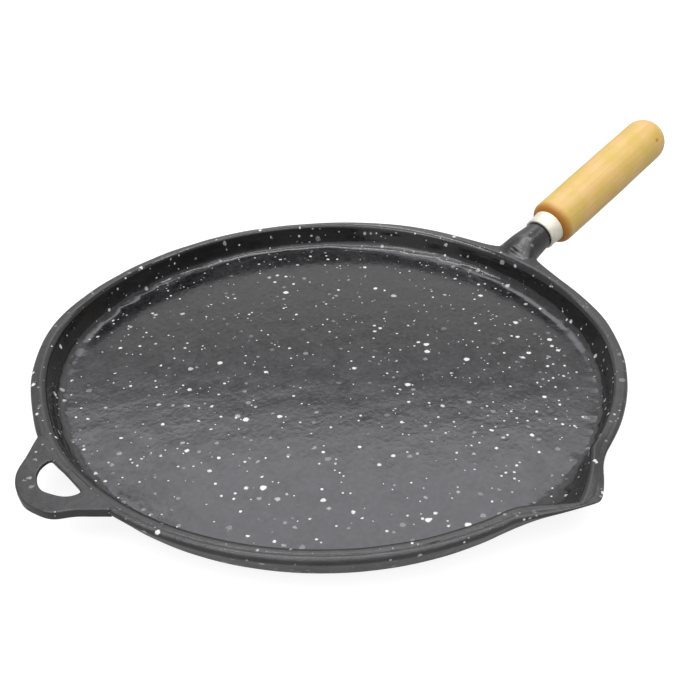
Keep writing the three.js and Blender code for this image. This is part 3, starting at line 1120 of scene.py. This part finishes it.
@dataclass(frozen=True)
class HangerStud:
    """The hidden stud: a machine thread for the stub and a coarse pointed thread for the wood."""

    machine: ScrewThread = MACHINE_THREAD
    machine_rows: float = 10.0
    wood: ScrewThread = ScrewThread(3.0, 3.6, 0.95)
    wood_rows: float = 12.0
    collar: float = 16.0
    plain: float = 1.0
    run_in: float = 3.0
    chamfer: float = 1.1
    point: float = 9.0
    tip_radius: float = 0.05
    front_inset: float = 0.05
    end_inset: float = 0.1
    columns: int = 40

    def build(self, line: HandleLine, material: Material) -> Object:
        """Winds both threads round the handle's line, with a chamfer in front and a point behind.

        Args:
            line: The handle's line.
            material: The plated steel.

        Returns:
            The piece.
        """
        front, end, _ = line.reach("hanger_stud")
        angle = np.arange(self.columns) * TURN / self.columns
        machine_step, wood_step = self.machine.pitch / self.machine_rows, self.wood.pitch / self.wood_rows
        forward = np.arange(front + self.front_inset, self.collar, machine_step)[:, None]
        behind = np.arange(self.collar, end - self.end_inset, wood_step)[:, None]
        cut = self.machine.crest - self.chamfer + (forward - front)
        front_radius = np.minimum(self.machine.radius(forward, angle), cut)
        taper = np.minimum((end - behind) / self.point, 1.0)
        deep = smooth_step((behind - self.collar - self.plain) / self.run_in)
        core = self.wood.crest - self.wood.depth
        wound = core + (self.wood.radius(behind, angle) - core) * deep
        rear_radius = np.maximum(wound * taper, self.tip_radius)
        halves = [line.place(forward, front_radius, angle), line.place(behind, rear_radius, angle)]
        shell = Shell.capped(np.concatenate(halves))
        return shell.piece("threaded_stud", material, Body.HANDLE, "hanger_stud", Slot.FASTENER)


@dataclass(frozen=True)
class LockWasher:
    """The split spring washer: a square wire wound nearly once round the stud, its ends a little apart."""

    bore: float = 4.3
    split: float = 0.26
    split_angle: float = 20.0
    spring: float = 0.12
    edge_round: float = 0.25
    rows: int = 110

    def build(self, line: HandleLine, material: Material) -> Object:
        """Carries the wire's section round the stud, rising by the spring from one end to the other.

        Args:
            line: The handle's line.
            material: The plated steel.

        Returns:
            The piece.
        """
        front, rear, radius = line.reach("lock_washer")
        low, high = front + self.spring, rear - self.spring
        middle = 0.5 * (low + high)
        section = rounded_path(
            [
                Corner(middle, self.bore, parts=2),
                Corner(low, self.bore, self.edge_round, 4),
                Corner(low, radius, self.edge_round, 3),
                Corner(high, radius, self.edge_round, 4),
                Corner(high, self.bore, self.edge_round, 2),
                Corner(middle, self.bore),
            ],
            arc_points=4,
        )[:-1]
        share = np.linspace(0.0, 1.0, self.rows)[:, None]
        angle = math.radians(self.split_angle) + 0.5 * self.split + share * (TURN - self.split)
        lifted = section[:, 0] + self.spring * (2.0 * share - 1.0)
        grid = line.place(lifted, section[:, 1], angle)
        return Shell.capped(grid).piece("split_washer", material, Body.WASHER, "lock_washer", Slot.FASTENER)


class Sketch:
    """Short ways to add and wire nodes in one tree."""

    def __init__(self, tree: Tree) -> None:
        """Keeps the tree that nodes are added to."""
        self.tree = tree

    def wire(self, node: Node, inputs: dict[str | int, object]) -> None:
        """Sets inputs of a node to values, or wires other nodes' sockets to them.

        Args:
            node: The node.
            inputs: A value or a socket for each input, by name or number.
        """
        for name, value in inputs.items():
            if isinstance(value, Socket):
                self.tree.links.new(value, node.inputs[name])
            else:
                node.inputs[name].default_value = value

    def node(self, kind: str, inputs: dict[str | int, object] | None = None, **settings: object) -> Node:
        """Adds a node, sets its settings, and sets or wires its inputs.

        Args:
            kind: The node's type.
            inputs: A value or another node's socket for each input, by name or number.
            settings: The node's own settings.

        Returns:
            The node.
        """
        made = self.tree.nodes.new(kind)
        for name, value in settings.items():
            setattr(made, name, value)
        self.wire(made, inputs or {})
        return made

    def math(self, operation: str, *values: object) -> Socket:
        """Adds a Math node on the given values or sockets and returns its result."""
        return self.node("ShaderNodeMath", dict(enumerate(values)), operation=operation).outputs[0]

    def times(self, first: object, second: object) -> Socket:
        """Multiplies two values or sockets."""
        return self.math("MULTIPLY", first, second)

    def vector(self, operation: str, *values: object) -> Socket:
        """Adds a Vector Math node on the given vectors or sockets and returns its vector."""
        return self.node("ShaderNodeVectorMath", dict(enumerate(values)), operation=operation).outputs[0]

    def measured(self, operation: str, *values: object) -> Socket:
        """Adds a Vector Math node on the given vectors or sockets and returns its number."""
        inputs = dict(enumerate(values))
        return self.node("ShaderNodeVectorMath", inputs, operation=operation).outputs["Value"]

    def scaled(self, vector: Socket, factor: object) -> Socket:
        """Scales a vector by a number or a socket."""
        return self.node("ShaderNodeVectorMath", {0: vector, "Scale": factor}, operation="SCALE").outputs[0]

    def mixed(self, share: object, first: object, second: object) -> Socket:
        """Mixes two colours, of which a share of 1 gives the second."""
        first, second = ((*one, 1.0) if isinstance(one, tuple) else one for one in (first, second))
        return self.node("ShaderNodeMix", {0: share, 6: first, 7: second}, data_type="RGBA").outputs[2]

    def between(
        self, value: Socket, low: object, high: object, start: object = 0.0, end: object = 1.0
    ) -> Socket:
        """Carries a value from the range low to high onto the range start to end, level at both ends."""
        inputs = {0: value, 1: low, 2: high, 3: start, 4: end}
        return self.node("ShaderNodeMapRange", inputs, interpolation_type="SMOOTHSTEP").outputs[0]

    def noise(self, vector: Socket, size: float, detail: float = 2.0) -> Node:
        """Adds a Noise Texture whose features are about a size in millimetres."""
        inputs = {"Vector": vector, "Scale": 1.0 / (size * MM), "Detail": detail}
        return self.node("ShaderNodeTexNoise", inputs)

    def swerved(self, place: Socket, through: Socket, size: float, amount: object) -> Socket:
        """Moves places about by a noise that is as often to one side as to the other.

        Args:
            place: The places.
            through: The places at which the noise is read.
            size: The noise's features in millimetres.
            amount: How far the whole range of the noise moves a place.

        Returns:
            The moved places.
        """
        wander = self.vector("SUBTRACT", self.noise(through, size).outputs["Color"], (0.5, 0.5, 0.5))
        return self.vector("ADD", place, self.scaled(wander, amount))

    def bump(self, height: Socket, depth: float, strength: float) -> Socket:
        """Adds a Bump node with a depth in millimetres and returns its normal."""
        inputs = {"Height": height, "Distance": depth * MM, "Strength": strength}
        return self.node("ShaderNodeBump", inputs).outputs[0]

    def parts(self, vector: Socket) -> Outputs:
        """Splits a vector into its three parts."""
        return self.node("ShaderNodeSeparateXYZ", {0: vector}).outputs

    def shared(self, group: Tree, inputs: dict[str | int, object]) -> Outputs:
        """Adds a shared effect with its inputs and returns its outputs."""
        return self.node("ShaderNodeGroup", inputs, node_tree=group).outputs


class Effects:
    """The effects that several finishes share, each a node group that gives masks, values or heights."""

    FLECK_EDGE_SIZE = 1.7
    FLECK_SWERVE = 2.0
    FLECK_SIZE_POWER = 1.6
    FLECK_ROOM = 0.97
    FLECK_EDGE: Pair = (0.8, 1.15)
    CLOUD_LEVELS: Pair = (0.3, 0.7)
    CLOUD_DETAIL = 3.0
    LINE_DETAIL = 2.0

    def __init__(self) -> None:
        """Builds every group once."""
        self.flecks = self._flecks()
        self.mottle = self._mottle()
        self.lathe_lines = self._lathe_lines()

    def clouds(
        self, sketch: Sketch, place: Socket, size: float, low: float = 0.0, high: float = 1.0
    ) -> Socket:
        """Places the mottle in a material, with features of a size in millimetres, between two levels."""
        inputs = {"Vector": place, "Size": size, "Low": low, "High": high}
        return sketch.shared(self.mottle, inputs)[0]

    def rings(self, sketch: Sketch, place: Socket, spacing: float) -> Socket:
        """Places the lathe lines in a material, a spacing in millimetres apart."""
        return sketch.shared(self.lathe_lines, {"Vector": place, "Spacing": spacing})[0]

    @staticmethod
    def _group(name: str, inputs: dict[str, float], outputs: Sequence[str]) -> tuple[Sketch, Outputs, Node]:
        """Starts a group with a vector input, number inputs with their usual values, and number outputs.

        Args:
            name: The group's name.
            inputs: The usual value of each number input.
            outputs: The names of the outputs.

        Returns:
            The group's sketch, its input sockets and its output node.
        """
        tree = bpy.data.node_groups.new(name, "ShaderNodeTree")
        tree.interface.new_socket("Vector", in_out="INPUT", socket_type="NodeSocketVector")
        for label, value in inputs.items():
            socket = tree.interface.new_socket(label, in_out="INPUT", socket_type="NodeSocketFloat")
            socket.default_value = value
        for label in outputs:
            tree.interface.new_socket(label, in_out="OUTPUT", socket_type="NodeSocketFloat")
        sketch = Sketch(tree)
        return sketch, sketch.node("NodeGroupInput").outputs, sketch.node("NodeGroupOutput")

    def _flecks(self) -> Tree:
        """Scattered ragged dots: one in some of a cell pattern's cells, each of its own size.

        A cell's dot is where the distance to its point, on a swerved vector, is under the dot's radius, which
        is held within the cell. Its size and its brightness come from the cell's random colour, and the share
        says how many cells have one.

        Returns:
            The group.
        """
        usual = {"Cell": 5.0, "Radius": 1.2, "Least": 0.3, "Share": 0.6, "Ragged": 0.5}
        sketch, given, result = self._group("flecks", usual, ("Mask", "Tone"))
        amount = sketch.times(given["Ragged"], self.FLECK_SWERVE * MM)
        bent = sketch.swerved(given["Vector"], given["Vector"], self.FLECK_EDGE_SIZE, amount)
        inputs = {"Vector": bent, "Scale": sketch.math("DIVIDE", 1.0, sketch.times(given["Cell"], MM))}
        cells = sketch.node("ShaderNodeTexVoronoi", inputs)
        room = sketch.node("ShaderNodeTexVoronoi", inputs, feature="N_SPHERE_RADIUS").outputs["Radius"]
        picks = sketch.parts(cells.outputs["Color"])
        chance = sketch.math("POWER", picks[0], self.FLECK_SIZE_POWER)
        spread = sketch.between(chance, 0.0, 1.0, given["Least"], 1.0)
        radius = sketch.math("DIVIDE", sketch.times(given["Radius"], spread), given["Cell"])
        radius = sketch.math("MINIMUM", radius, sketch.times(room, self.FLECK_ROOM))
        solid, clear = (sketch.times(radius, share) for share in self.FLECK_EDGE)
        inside = sketch.between(cells.outputs["Distance"], solid, clear, 1.0, 0.0)
        chosen = sketch.math("LESS_THAN", picks[1], given["Share"])
        sketch.wire(result, {"Mask": sketch.times(inside, chosen), "Tone": picks[2]})
        return sketch.tree

    def _mottle(self) -> Tree:
        """A soft cloudy value: noise with features of a given size, carried onto two levels.

        Returns:
            The group.
        """
        sketch, given, result = self._group("mottle", {"Size": 20.0, "Low": 0.0, "High": 1.0}, ("Value",))
        scale = sketch.math("DIVIDE", 1.0 / MM, given["Size"])
        inputs = {"Vector": given["Vector"], "Scale": scale, "Detail": self.CLOUD_DETAIL}
        cloud = sketch.node("ShaderNodeTexNoise", inputs).outputs[0]
        value = sketch.between(cloud, *self.CLOUD_LEVELS, given["Low"], given["High"])
        sketch.wire(result, {"Value": value})
        return sketch.tree

    def _lathe_lines(self) -> Tree:
        """Fine rings left by a tool: noise along the vector's first part only, so that it rings the piece.

        Returns:
            The group.
        """
        sketch, given, result = self._group("lathe_lines", {"Spacing": 0.5}, ("Height",))
        along = sketch.parts(given["Vector"])[0]
        inputs = {
            "W": sketch.math("DIVIDE", along, sketch.times(given["Spacing"], MM)),
            "Scale": 1.0,
            "Detail": self.LINE_DETAIL,
        }
        lines = sketch.node("ShaderNodeTexNoise", inputs, noise_dimensions="1D")
        sketch.wire(result, {"Height": lines.outputs[0]})
        return sketch.tree


def new_material(name: str) -> tuple[Material, Sketch, Node]:
    """Makes a material with a single Principled shader.

    Args:
        name: The material's name.

    Returns:
        The material, a sketch of its tree and the shader.
    """
    material = bpy.data.materials.new(name)
    material.use_nodes = True
    sketch = Sketch(material.node_tree)
    return material, sketch, material.node_tree.nodes["Principled BSDF"]


@dataclass(frozen=True)
class Ripple:
    """One scale of relief in a finish: the size of its features, its detail and its height."""

    size: float
    detail: float
    height: float

    def drawn(self, sketch: Sketch, place: Socket) -> Socket:
        """The relief's height at each place."""
        return sketch.times(sketch.noise(place, self.size, self.detail).outputs[0], self.height)


@dataclass(frozen=True)
class Speck:
    """One size of speck: its cell, greatest radius, least share of that, share of cells and raggedness."""

    cell: float
    radius: float
    least: float
    share: float
    ragged: float


@dataclass(frozen=True)
class SpeckledEnamel:
    """Glossy near-black porcelain enamel with thrown white specks, run over an uneven casting."""

    effects: Effects
    ground: Colour = (0.0035, 0.0033, 0.0038)
    cloud: Colour = (0.020, 0.019, 0.021)
    cloud_size: float = 2.6
    # The deep colour is painted shade: it darkens the walls and all above them against the floor.
    deep: Colour = (0.0018, 0.0017, 0.0020)
    wall_shade_share: float = 0.85
    wall_shade_heights: Pair = (7.0, 11.0)
    bare: Colour = (0.022, 0.0203, 0.0198)
    bare_size: float = 7.0
    least_bare: float = 0.35
    fleck: Colour = (0.76, 0.76, 0.75)
    roughness: Pair = (0.13, 0.21)
    gloss_size: float = 9.0
    cast_roughness: float = 0.22
    run: Ripple = Ripple(8.0, 1.0, 0.2)
    peel: Ripple = Ripple(2.6, 2.0, 0.13)
    grit: Ripple = Ripple(2.0, 3.0, 0.36)
    speck_height: float = 0.06
    relief: Pair = (0.7, 0.8)
    ior: float = 1.6
    dense_size: float = 38.0
    dense: Pair = (0.6, 1.2)
    tone_power: float = 1.05
    dimmest: float = 0.12
    shelter: Pair = (153.0, 159.0)
    sheltered: float = 0.25
    specks: tuple[Speck, ...] = (
        Speck(10.0, 1.85, 0.6, 0.22, 0.9),
        Speck(4.9, 1.6, 0.5, 0.31, 0.7),
        Speck(2.7, 0.72, 0.5, 0.24, 0.3),
    )

    def make(self) -> Material:
        """Builds a cloudy ground, darkened up the wall as painted shade, with three sizes of speck and the
        glaze's ripples.

        Returns:
            The material.
        """
        material, sketch, shader = new_material("speckled_enamel")
        clouds = self.effects.clouds
        place = sketch.node("ShaderNodeTexCoord").outputs["Object"]
        cast = sketch.node("ShaderNodeAttribute", attribute_name="cast").outputs["Fac"]
        specks = self.thrown(sketch, place)
        ground = sketch.mixed(clouds(sketch, place, self.cloud_size), self.ground, self.cloud)
        # Painted shade: from 7 to 11 mm up, the ground turns to the deep colour, so the walls are darker than
        # the floor.
        wall = sketch.between(sketch.parts(place)[2], *(height * MM for height in self.wall_shade_heights))
        ground = sketch.mixed(sketch.times(wall, self.wall_shade_share), ground, self.deep)
        patchy = clouds(sketch, place, self.bare_size, self.least_bare)
        ground = sketch.mixed(sketch.times(cast, patchy), ground, self.bare)
        smooth = clouds(sketch, place, self.gloss_size, *self.roughness)
        glaze = sketch.math("ADD", self.run.drawn(sketch, place), self.peel.drawn(sketch, place))
        grit = sketch.times(self.grit.drawn(sketch, place), cast)
        raised = sketch.math("ADD", sketch.times(specks, self.speck_height), grit)
        inputs = {
            "Base Color": sketch.mixed(specks, ground, self.fleck),
            "Roughness": sketch.math("MULTIPLY_ADD", cast, self.cast_roughness, smooth),
            "Normal": sketch.bump(sketch.math("ADD", glaze, raised), *self.relief),
            "IOR": self.ior,
        }
        sketch.wire(shader, inputs)
        return material

    def thrown(self, sketch: Sketch, place: Socket) -> Socket:
        """The mask of all the specks, denser in some places than in others and faint on the stub.

        Args:
            sketch: The material's sketch.
            place: The piece's own coordinates.

        Returns:
            A mask that is 1 on the brightest specks.
        """
        dense = self.effects.clouds(sketch, place, self.dense_size, *self.dense)
        masks = []
        for speck in self.specks:
            inputs = {
                "Vector": place,
                "Cell": speck.cell,
                "Radius": speck.radius,
                "Least": speck.least,
                "Share": sketch.times(dense, speck.share),
                "Ragged": speck.ragged,
            }
            mask, tone = sketch.shared(self.effects.flecks, inputs)
            tone = sketch.math("POWER", tone, self.tone_power)
            bright = sketch.math("MULTIPLY_ADD", tone, 1.0 - self.dimmest, self.dimmest)
            masks.append(sketch.times(mask, bright))
        thrown = sketch.math("MAXIMUM", sketch.math("MAXIMUM", masks[0], masks[1]), masks[2])
        near, far = (value * MM for value in self.shelter)
        return sketch.times(thrown, sketch.between(sketch.parts(place)[0], near, far, 1.0, self.sheltered))


@dataclass(frozen=True)
class LacqueredWood:
    """Pale turned wood under satin lacquer: faint growth rings, fibre streaks and a browned shoulder, darkest
    at the ferrule, where its brown is also painted shade.
    """

    effects: Effects
    line: HandleLine
    shoulder: float
    pale: Colour = (0.745, 0.488, 0.172)
    ring: Colour = (0.60, 0.37, 0.10)
    streak: Colour = (0.78, 0.46, 0.19)
    yellow: Colour = (0.63, 0.45, 0.085)
    brown: Colour = (0.46, 0.17, 0.012)
    pith: Place = (0.0, 31.0, 44.0)
    ring_stretch: Place = (0.03, 1.0, 1.0)
    ring_spacing: float = 3.4
    ring_power: float = 3.0
    ring_share: float = 0.4
    grain_stretch: Place = (0.2, 1.0, 1.0)
    wander: float = 9.0
    wander_size: float = 26.0
    fibre_stretch: Place = (0.045, 1.0, 1.0)
    fibre_size: float = 1.0
    fibre_detail: float = 3.0
    fibre_levels: Pair = (0.5, 0.75)
    fibre_share: float = 0.35
    streak_size: float = 6.0
    streak_levels: Pair = (0.48, 0.66)
    streak_share: float = 0.7
    yellow_size: float = 13.0
    yellow_share: float = 0.8
    # The shoulder's brown is partly its own colour and partly painted shade, strongest at the joint with the
    # ferrule.
    browned_and_shaded_run: float = 6.5
    browned_and_shaded_share: float = 0.95
    knot: Place = (121.1, -13.1, 7.3)
    knot_radii: Pair = (0.6, 2.0)
    knot_share: float = 0.8
    roughness: Pair = (0.36, 0.48)
    gloss_size: float = 12.0
    turning: float = 1.1
    fibre_height: float = 0.5
    turning_height: float = 0.25
    relief: Pair = (0.1, 0.5)
    specular: float = 0.35
    coat: float = 0.12
    coat_roughness: float = 0.35

    def make(self) -> Material:
        """Builds the wood on the handle's own coordinates, with its first axis along the grip.

        A growth ring's phase is the part after the point of the distance from the pith in rings, and its late
        wood is a power of that. Fibres and streaks are noise that is drawn out along the grip.

        Returns:
            The material.
        """
        material, sketch, shader = new_material("lacquered_wood")
        place = handle_vector(sketch, self.line)
        grain = sketch.vector("MULTIPLY", place, self.grain_stretch)
        bent = sketch.swerved(place, grain, self.wander_size, self.wander * MM)
        from_pith = sketch.vector("ADD", bent, tuple(value * MM for value in self.pith))
        distance = sketch.measured("LENGTH", sketch.vector("MULTIPLY", from_pith, self.ring_stretch))
        phase = sketch.math("FRACT", sketch.math("DIVIDE", distance, self.ring_spacing * MM))
        late = sketch.times(sketch.math("POWER", phase, self.ring_power), self.ring_share)
        drawn_out = sketch.vector("MULTIPLY", place, self.fibre_stretch)
        fibre = sketch.noise(drawn_out, self.fibre_size, self.fibre_detail).outputs[0]
        broad = sketch.noise(grain, self.streak_size).outputs[0]
        fibres = sketch.times(sketch.between(fibre, *self.fibre_levels), self.fibre_share)
        streaks = sketch.times(sketch.between(broad, *self.streak_levels), self.streak_share)
        patches = self.effects.clouds(sketch, place, self.yellow_size, 0.0, self.yellow_share)
        # Painted shade with the shoulder's own brown: darkest at the ferrule, fading out over a few
        # millimetres.
        near, far = self.shoulder * MM, (self.shoulder + self.browned_and_shaded_run) * MM
        browning_and_shade = sketch.between(sketch.parts(place)[0], near, far, self.browned_and_shaded_share, 0.0)
        off = sketch.measured("DISTANCE", place, tuple(value * MM for value in self.knot))
        knot = sketch.between(off, *(radius * MM for radius in self.knot_radii), self.knot_share, 0.0)
        layers = (
            (late, self.ring),
            (fibres, self.ring),
            (streaks, self.streak),
            (patches, self.yellow),
            (browning_and_shade, self.brown),
            (knot, self.brown),
        )
        colour = self.pale
        for share, layer in layers:
            colour = sketch.mixed(share, colour, layer)
        lines = self.effects.rings(sketch, place, self.turning)
        fine, turned = sketch.times(fibre, self.fibre_height), sketch.times(lines, self.turning_height)
        inputs = {
            "Base Color": colour,
            "Roughness": self.effects.clouds(sketch, place, self.gloss_size, *self.roughness),
            "Normal": sketch.bump(sketch.math("ADD", fine, turned), *self.relief),
            "Specular IOR Level": self.specular,
            "Coat Weight": self.coat,
            "Coat Roughness": self.coat_roughness,
        }
        sketch.wire(shader, inputs)
        return material


@dataclass(frozen=True)
class TurnedMetal:
    """Bright metal with fine rings round the handle's line and a little cloudy dulling."""

    effects: Effects
    line: HandleLine
    name: str
    bright: Colour
    dull: Colour
    roughness: Pair
    spacing: float
    metallic: float
    dull_size: float = 4.0
    gloss_size: float = 3.0
    relief: Pair = (0.03, 0.6)

    def make(self) -> Material:
        """Builds the metal on the handle's own coordinates.

        Returns:
            The material.
        """
        material, sketch, shader = new_material(self.name)
        clouds = self.effects.clouds
        place = handle_vector(sketch, self.line)
        lines = self.effects.rings(sketch, place, self.spacing)
        inputs = {
            "Base Color": sketch.mixed(clouds(sketch, place, self.dull_size), self.bright, self.dull),
            "Roughness": clouds(sketch, place, self.gloss_size, *self.roughness),
            "Normal": sketch.bump(lines, *self.relief),
            "Metallic": self.metallic,
        }
        sketch.wire(shader, inputs)
        return material


def handle_vector(sketch: Sketch, line: HandleLine) -> Socket:
    """Turns a piece's own coordinates so that the first runs along the handle's line from its origin.

    Args:
        sketch: The material's sketch.
        line: The handle's line.

    Returns:
        The turned coordinates.
    """
    place = sketch.node("ShaderNodeTexCoord").outputs["Object"]
    inputs = {"Vector": place, "Location": tuple(line.origin * MM), "Rotation": (0.0, -line.tilt, 0.0)}
    return sketch.node("ShaderNodeMapping", inputs, vector_type="TEXTURE").outputs[0]


def bearing(heading: float, elevation: float) -> Array:
    """The unit vector at a heading, from +Y towards +X, and an elevation, both in degrees."""
    turn, rise = math.radians(heading), math.radians(elevation)
    return np.array([math.sin(turn) * math.cos(rise), math.cos(turn) * math.cos(rise), math.sin(rise)])


def posed(name: str, data: bpy.types.ID, axes: Sequence[Array], place: Array) -> Object:
    """Puts a camera or a lamp into the scene.

    Args:
        name: The object's name.
        data: The camera or the lamp.
        axes: Unit vectors to its right, upward and backward.
        place: Where it stands, in metres.

    Returns:
        The object.
    """
    made = bpy.data.objects.new(name, data)
    matrix = np.eye(4)
    matrix[:3] = np.stack([*axes, place], axis=1)
    made.matrix_world = Matrix(matrix.tolist())
    bpy.context.scene.collection.objects.link(made)
    return made


@dataclass(frozen=True)
class PhotoCamera:
    """The camera that fits the photograph: where it aims, how far off it stands, and how it is turned."""

    heading: float = 42.5
    elevation: float = 33.488
    roll: float = -0.5526
    distance: float = 463.31
    aim: Place = (4.227, -10.818, 20.0)
    focal_pixels: float = 900.0
    image_pixels: float = 700.0
    sensor: float = 36.0
    farthest: float = 100.0

    def build(self) -> Object:
        """Makes the scene's camera, rolled about the line that it looks along.

        Returns:
            The camera.
        """
        data = bpy.data.cameras.new("photo_camera")
        data.sensor_width = self.sensor
        data.lens = self.sensor * (self.focal_pixels / self.image_pixels)
        data.clip_end = self.farthest
        forward = bearing(self.heading, -self.elevation)
        level = bearing(self.heading + 90.0, 0.0)
        upright = np.cross(level, forward)
        cos, sin = math.cos(math.radians(self.roll)), math.sin(math.radians(self.roll))
        axes = (cos * level + sin * upright, cos * upright - sin * level, -forward)
        made = posed("photo_camera", data, axes, (np.array(self.aim) - self.distance * forward) * MM)
        bpy.context.scene.camera = made
        return made


@dataclass(frozen=True)
class Softbox:
    """A rectangular area lamp, placed by heading and elevation about the plate and turned to it."""

    name: str
    heading: float
    elevation: float
    distance: float
    width: float
    height: float
    radiance: float
    colour: Colour = (0.985, 0.98, 1.0)
    reach: Reach = Reach.ALL

    def build(self) -> Object:
        """Makes the lamp: its power is pi times its area times its radiance.

        Returns:
            The lamp.
        """
        data = bpy.data.lights.new(self.name, "AREA")
        data.shape = "RECTANGLE"
        data.size, data.size_y = self.width, self.height
        data.color = self.colour
        data.energy = math.pi * self.width * self.height * self.radiance
        away = bearing(self.heading, self.elevation)
        level = bearing(self.heading - 90.0, 0.0)
        made = posed(self.name, data, (level, np.cross(away, level), away), away * self.distance)
        made.visible_camera = False
        made.visible_diffuse = self.reach is not Reach.GLOSS
        made.visible_glossy = self.reach is not Reach.MATT
        return made


@dataclass(frozen=True)
class Studio:
    """A white floor in a white room, with softboxes behind, beside, before and above the plate."""

    room: float = 0.62
    floor_glow: float = 0.84
    glossy_glow: float = 0.3
    floor_colour: Colour = (0.3, 0.3, 0.3)
    floor_half: float = 14.0
    floor_drop: float = 0.05
    boxes: tuple[Softbox, ...] = (
        Softbox("back_low_box", 43.5, 42.2, 1.6, 1.75, 0.19, 2.1, COOL_LIGHT),
        Softbox("back_box", 43.5, 63.2, 1.6, 0.95, 1.02, 2.2, COOL_LIGHT),
        Softbox("back_panel", 46.0, 26.0, 3.0, 5.0, 0.66, 0.38),
        Softbox("side_box", -70.0, 48.0, 1.8, 0.8, 0.8, 1.2),
        Softbox("front_fill", 222.5, 28.0, 3.0, 3.0, 1.6, 0.6),
        Softbox("top_fill", 222.5, 72.0, 2.5, 3.0, 2.0, 1.6, reach=Reach.MATT),
        Softbox("over_box", 222.5, 70.0, 1.6, 2.4, 1.9, 1.0, reach=Reach.GLOSS),
        Softbox("over_strip", 42.5, 84.0, 1.5, 2.6, 0.1, 16.0, reach=Reach.GLOSS),
        Softbox("front_strip", 222.5, 60.0, 1.5, 3.0, 0.1, 9.0, reach=Reach.GLOSS),
    )

    def build(self) -> None:
        """Makes the world, the floor and the lamps."""
        self.world()
        self.floor()
        for box in self.boxes:
            box.build()

    def world(self) -> None:
        """Makes a room of one plain brightness, which the camera sees as white."""
        world = bpy.data.worlds.new("white_room")
        world.use_nodes = True
        bpy.context.scene.world = world
        sketch = Sketch(world.node_tree)
        seen = sketch.node("ShaderNodeLightPath").outputs["Is Camera Ray"]
        strength = sketch.math("MULTIPLY_ADD", seen, 1.0 - self.room, self.room)
        inputs = {"Color": (1.0, 1.0, 1.0, 1.0), "Strength": strength}
        sketch.wire(world.node_tree.nodes["Background"], inputs)

    def floor(self) -> Object:
        """Makes a wide level floor just under the plate, white to the eye, that takes a shadow.

        Returns:
            The floor.
        """
        half, low = self.floor_half, -self.floor_drop * MM
        mesh = bpy.data.meshes.new("studio_floor")
        corners = [(-half, -half, low), (half, -half, low), (half, half, low), (-half, half, low)]
        mesh.from_pydata(corners, [], [(0, 1, 2, 3)])
        made = bpy.data.objects.new("studio_floor", mesh)
        bpy.context.scene.collection.objects.link(made)
        material, sketch, shader = new_material("white_floor")
        rays = sketch.node("ShaderNodeLightPath").outputs
        seen = sketch.math("MAXIMUM", rays["Is Camera Ray"], rays["Is Transmission Ray"])
        seen = sketch.times(seen, self.floor_glow)
        level = sketch.math("MULTIPLY_ADD", rays["Is Glossy Ray"], self.glossy_glow, seen)
        inputs = {
            "Base Color": (*self.floor_colour, 1.0),
            "Roughness": 1.0,
            "Specular IOR Level": 0.0,
            "Emission Color": sketch.mixed(level, (0.0, 0.0, 0.0), (1.0, 1.0, 1.0)),
            "Emission Strength": 1.0,
        }
        sketch.wire(shader, inputs)
        mesh.materials.append(material)
        return made


def main() -> None:
    """Builds the looks of every piece round the frame, then the studio and the camera."""
    logging.basicConfig(level=logging.INFO, format="%(name)s %(message)s")
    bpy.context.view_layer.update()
    bpy.context.scene.view_settings.view_transform = "Standard"
    line = HandleLine.from_joint("handle_unscrew")
    effects = Effects()
    enamel = SpeckledEnamel(effects).make()
    wood = LacqueredWood(effects, line, line.reach("ferrule")[1] + FIT).make()
    sleeve = TurnedMetal(
        effects,
        line,
        "spun_sleeve",
        bright=(0.76, 0.73, 0.63),
        dull=(0.65, 0.625, 0.53),
        roughness=(0.49, 0.63),
        spacing=0.35,
        metallic=0.4,
    ).make()
    plated = TurnedMetal(
        effects,
        line,
        "plated_steel",
        bright=(0.70, 0.71, 0.70),
        dull=(0.56, 0.57, 0.58),
        roughness=(0.28, 0.42),
        spacing=0.5,
        metallic=1.0,
    ).make()
    PanCasting().build(line, enamel)
    Ferrule().build(line, sleeve)
    WoodenGrip().build(line, wood)
    HangerStud().build(line, plated)
    LockWasher().build(line, plated)
    Studio().build()
    PhotoCamera().build()


if __name__ == "__main__":
    main()
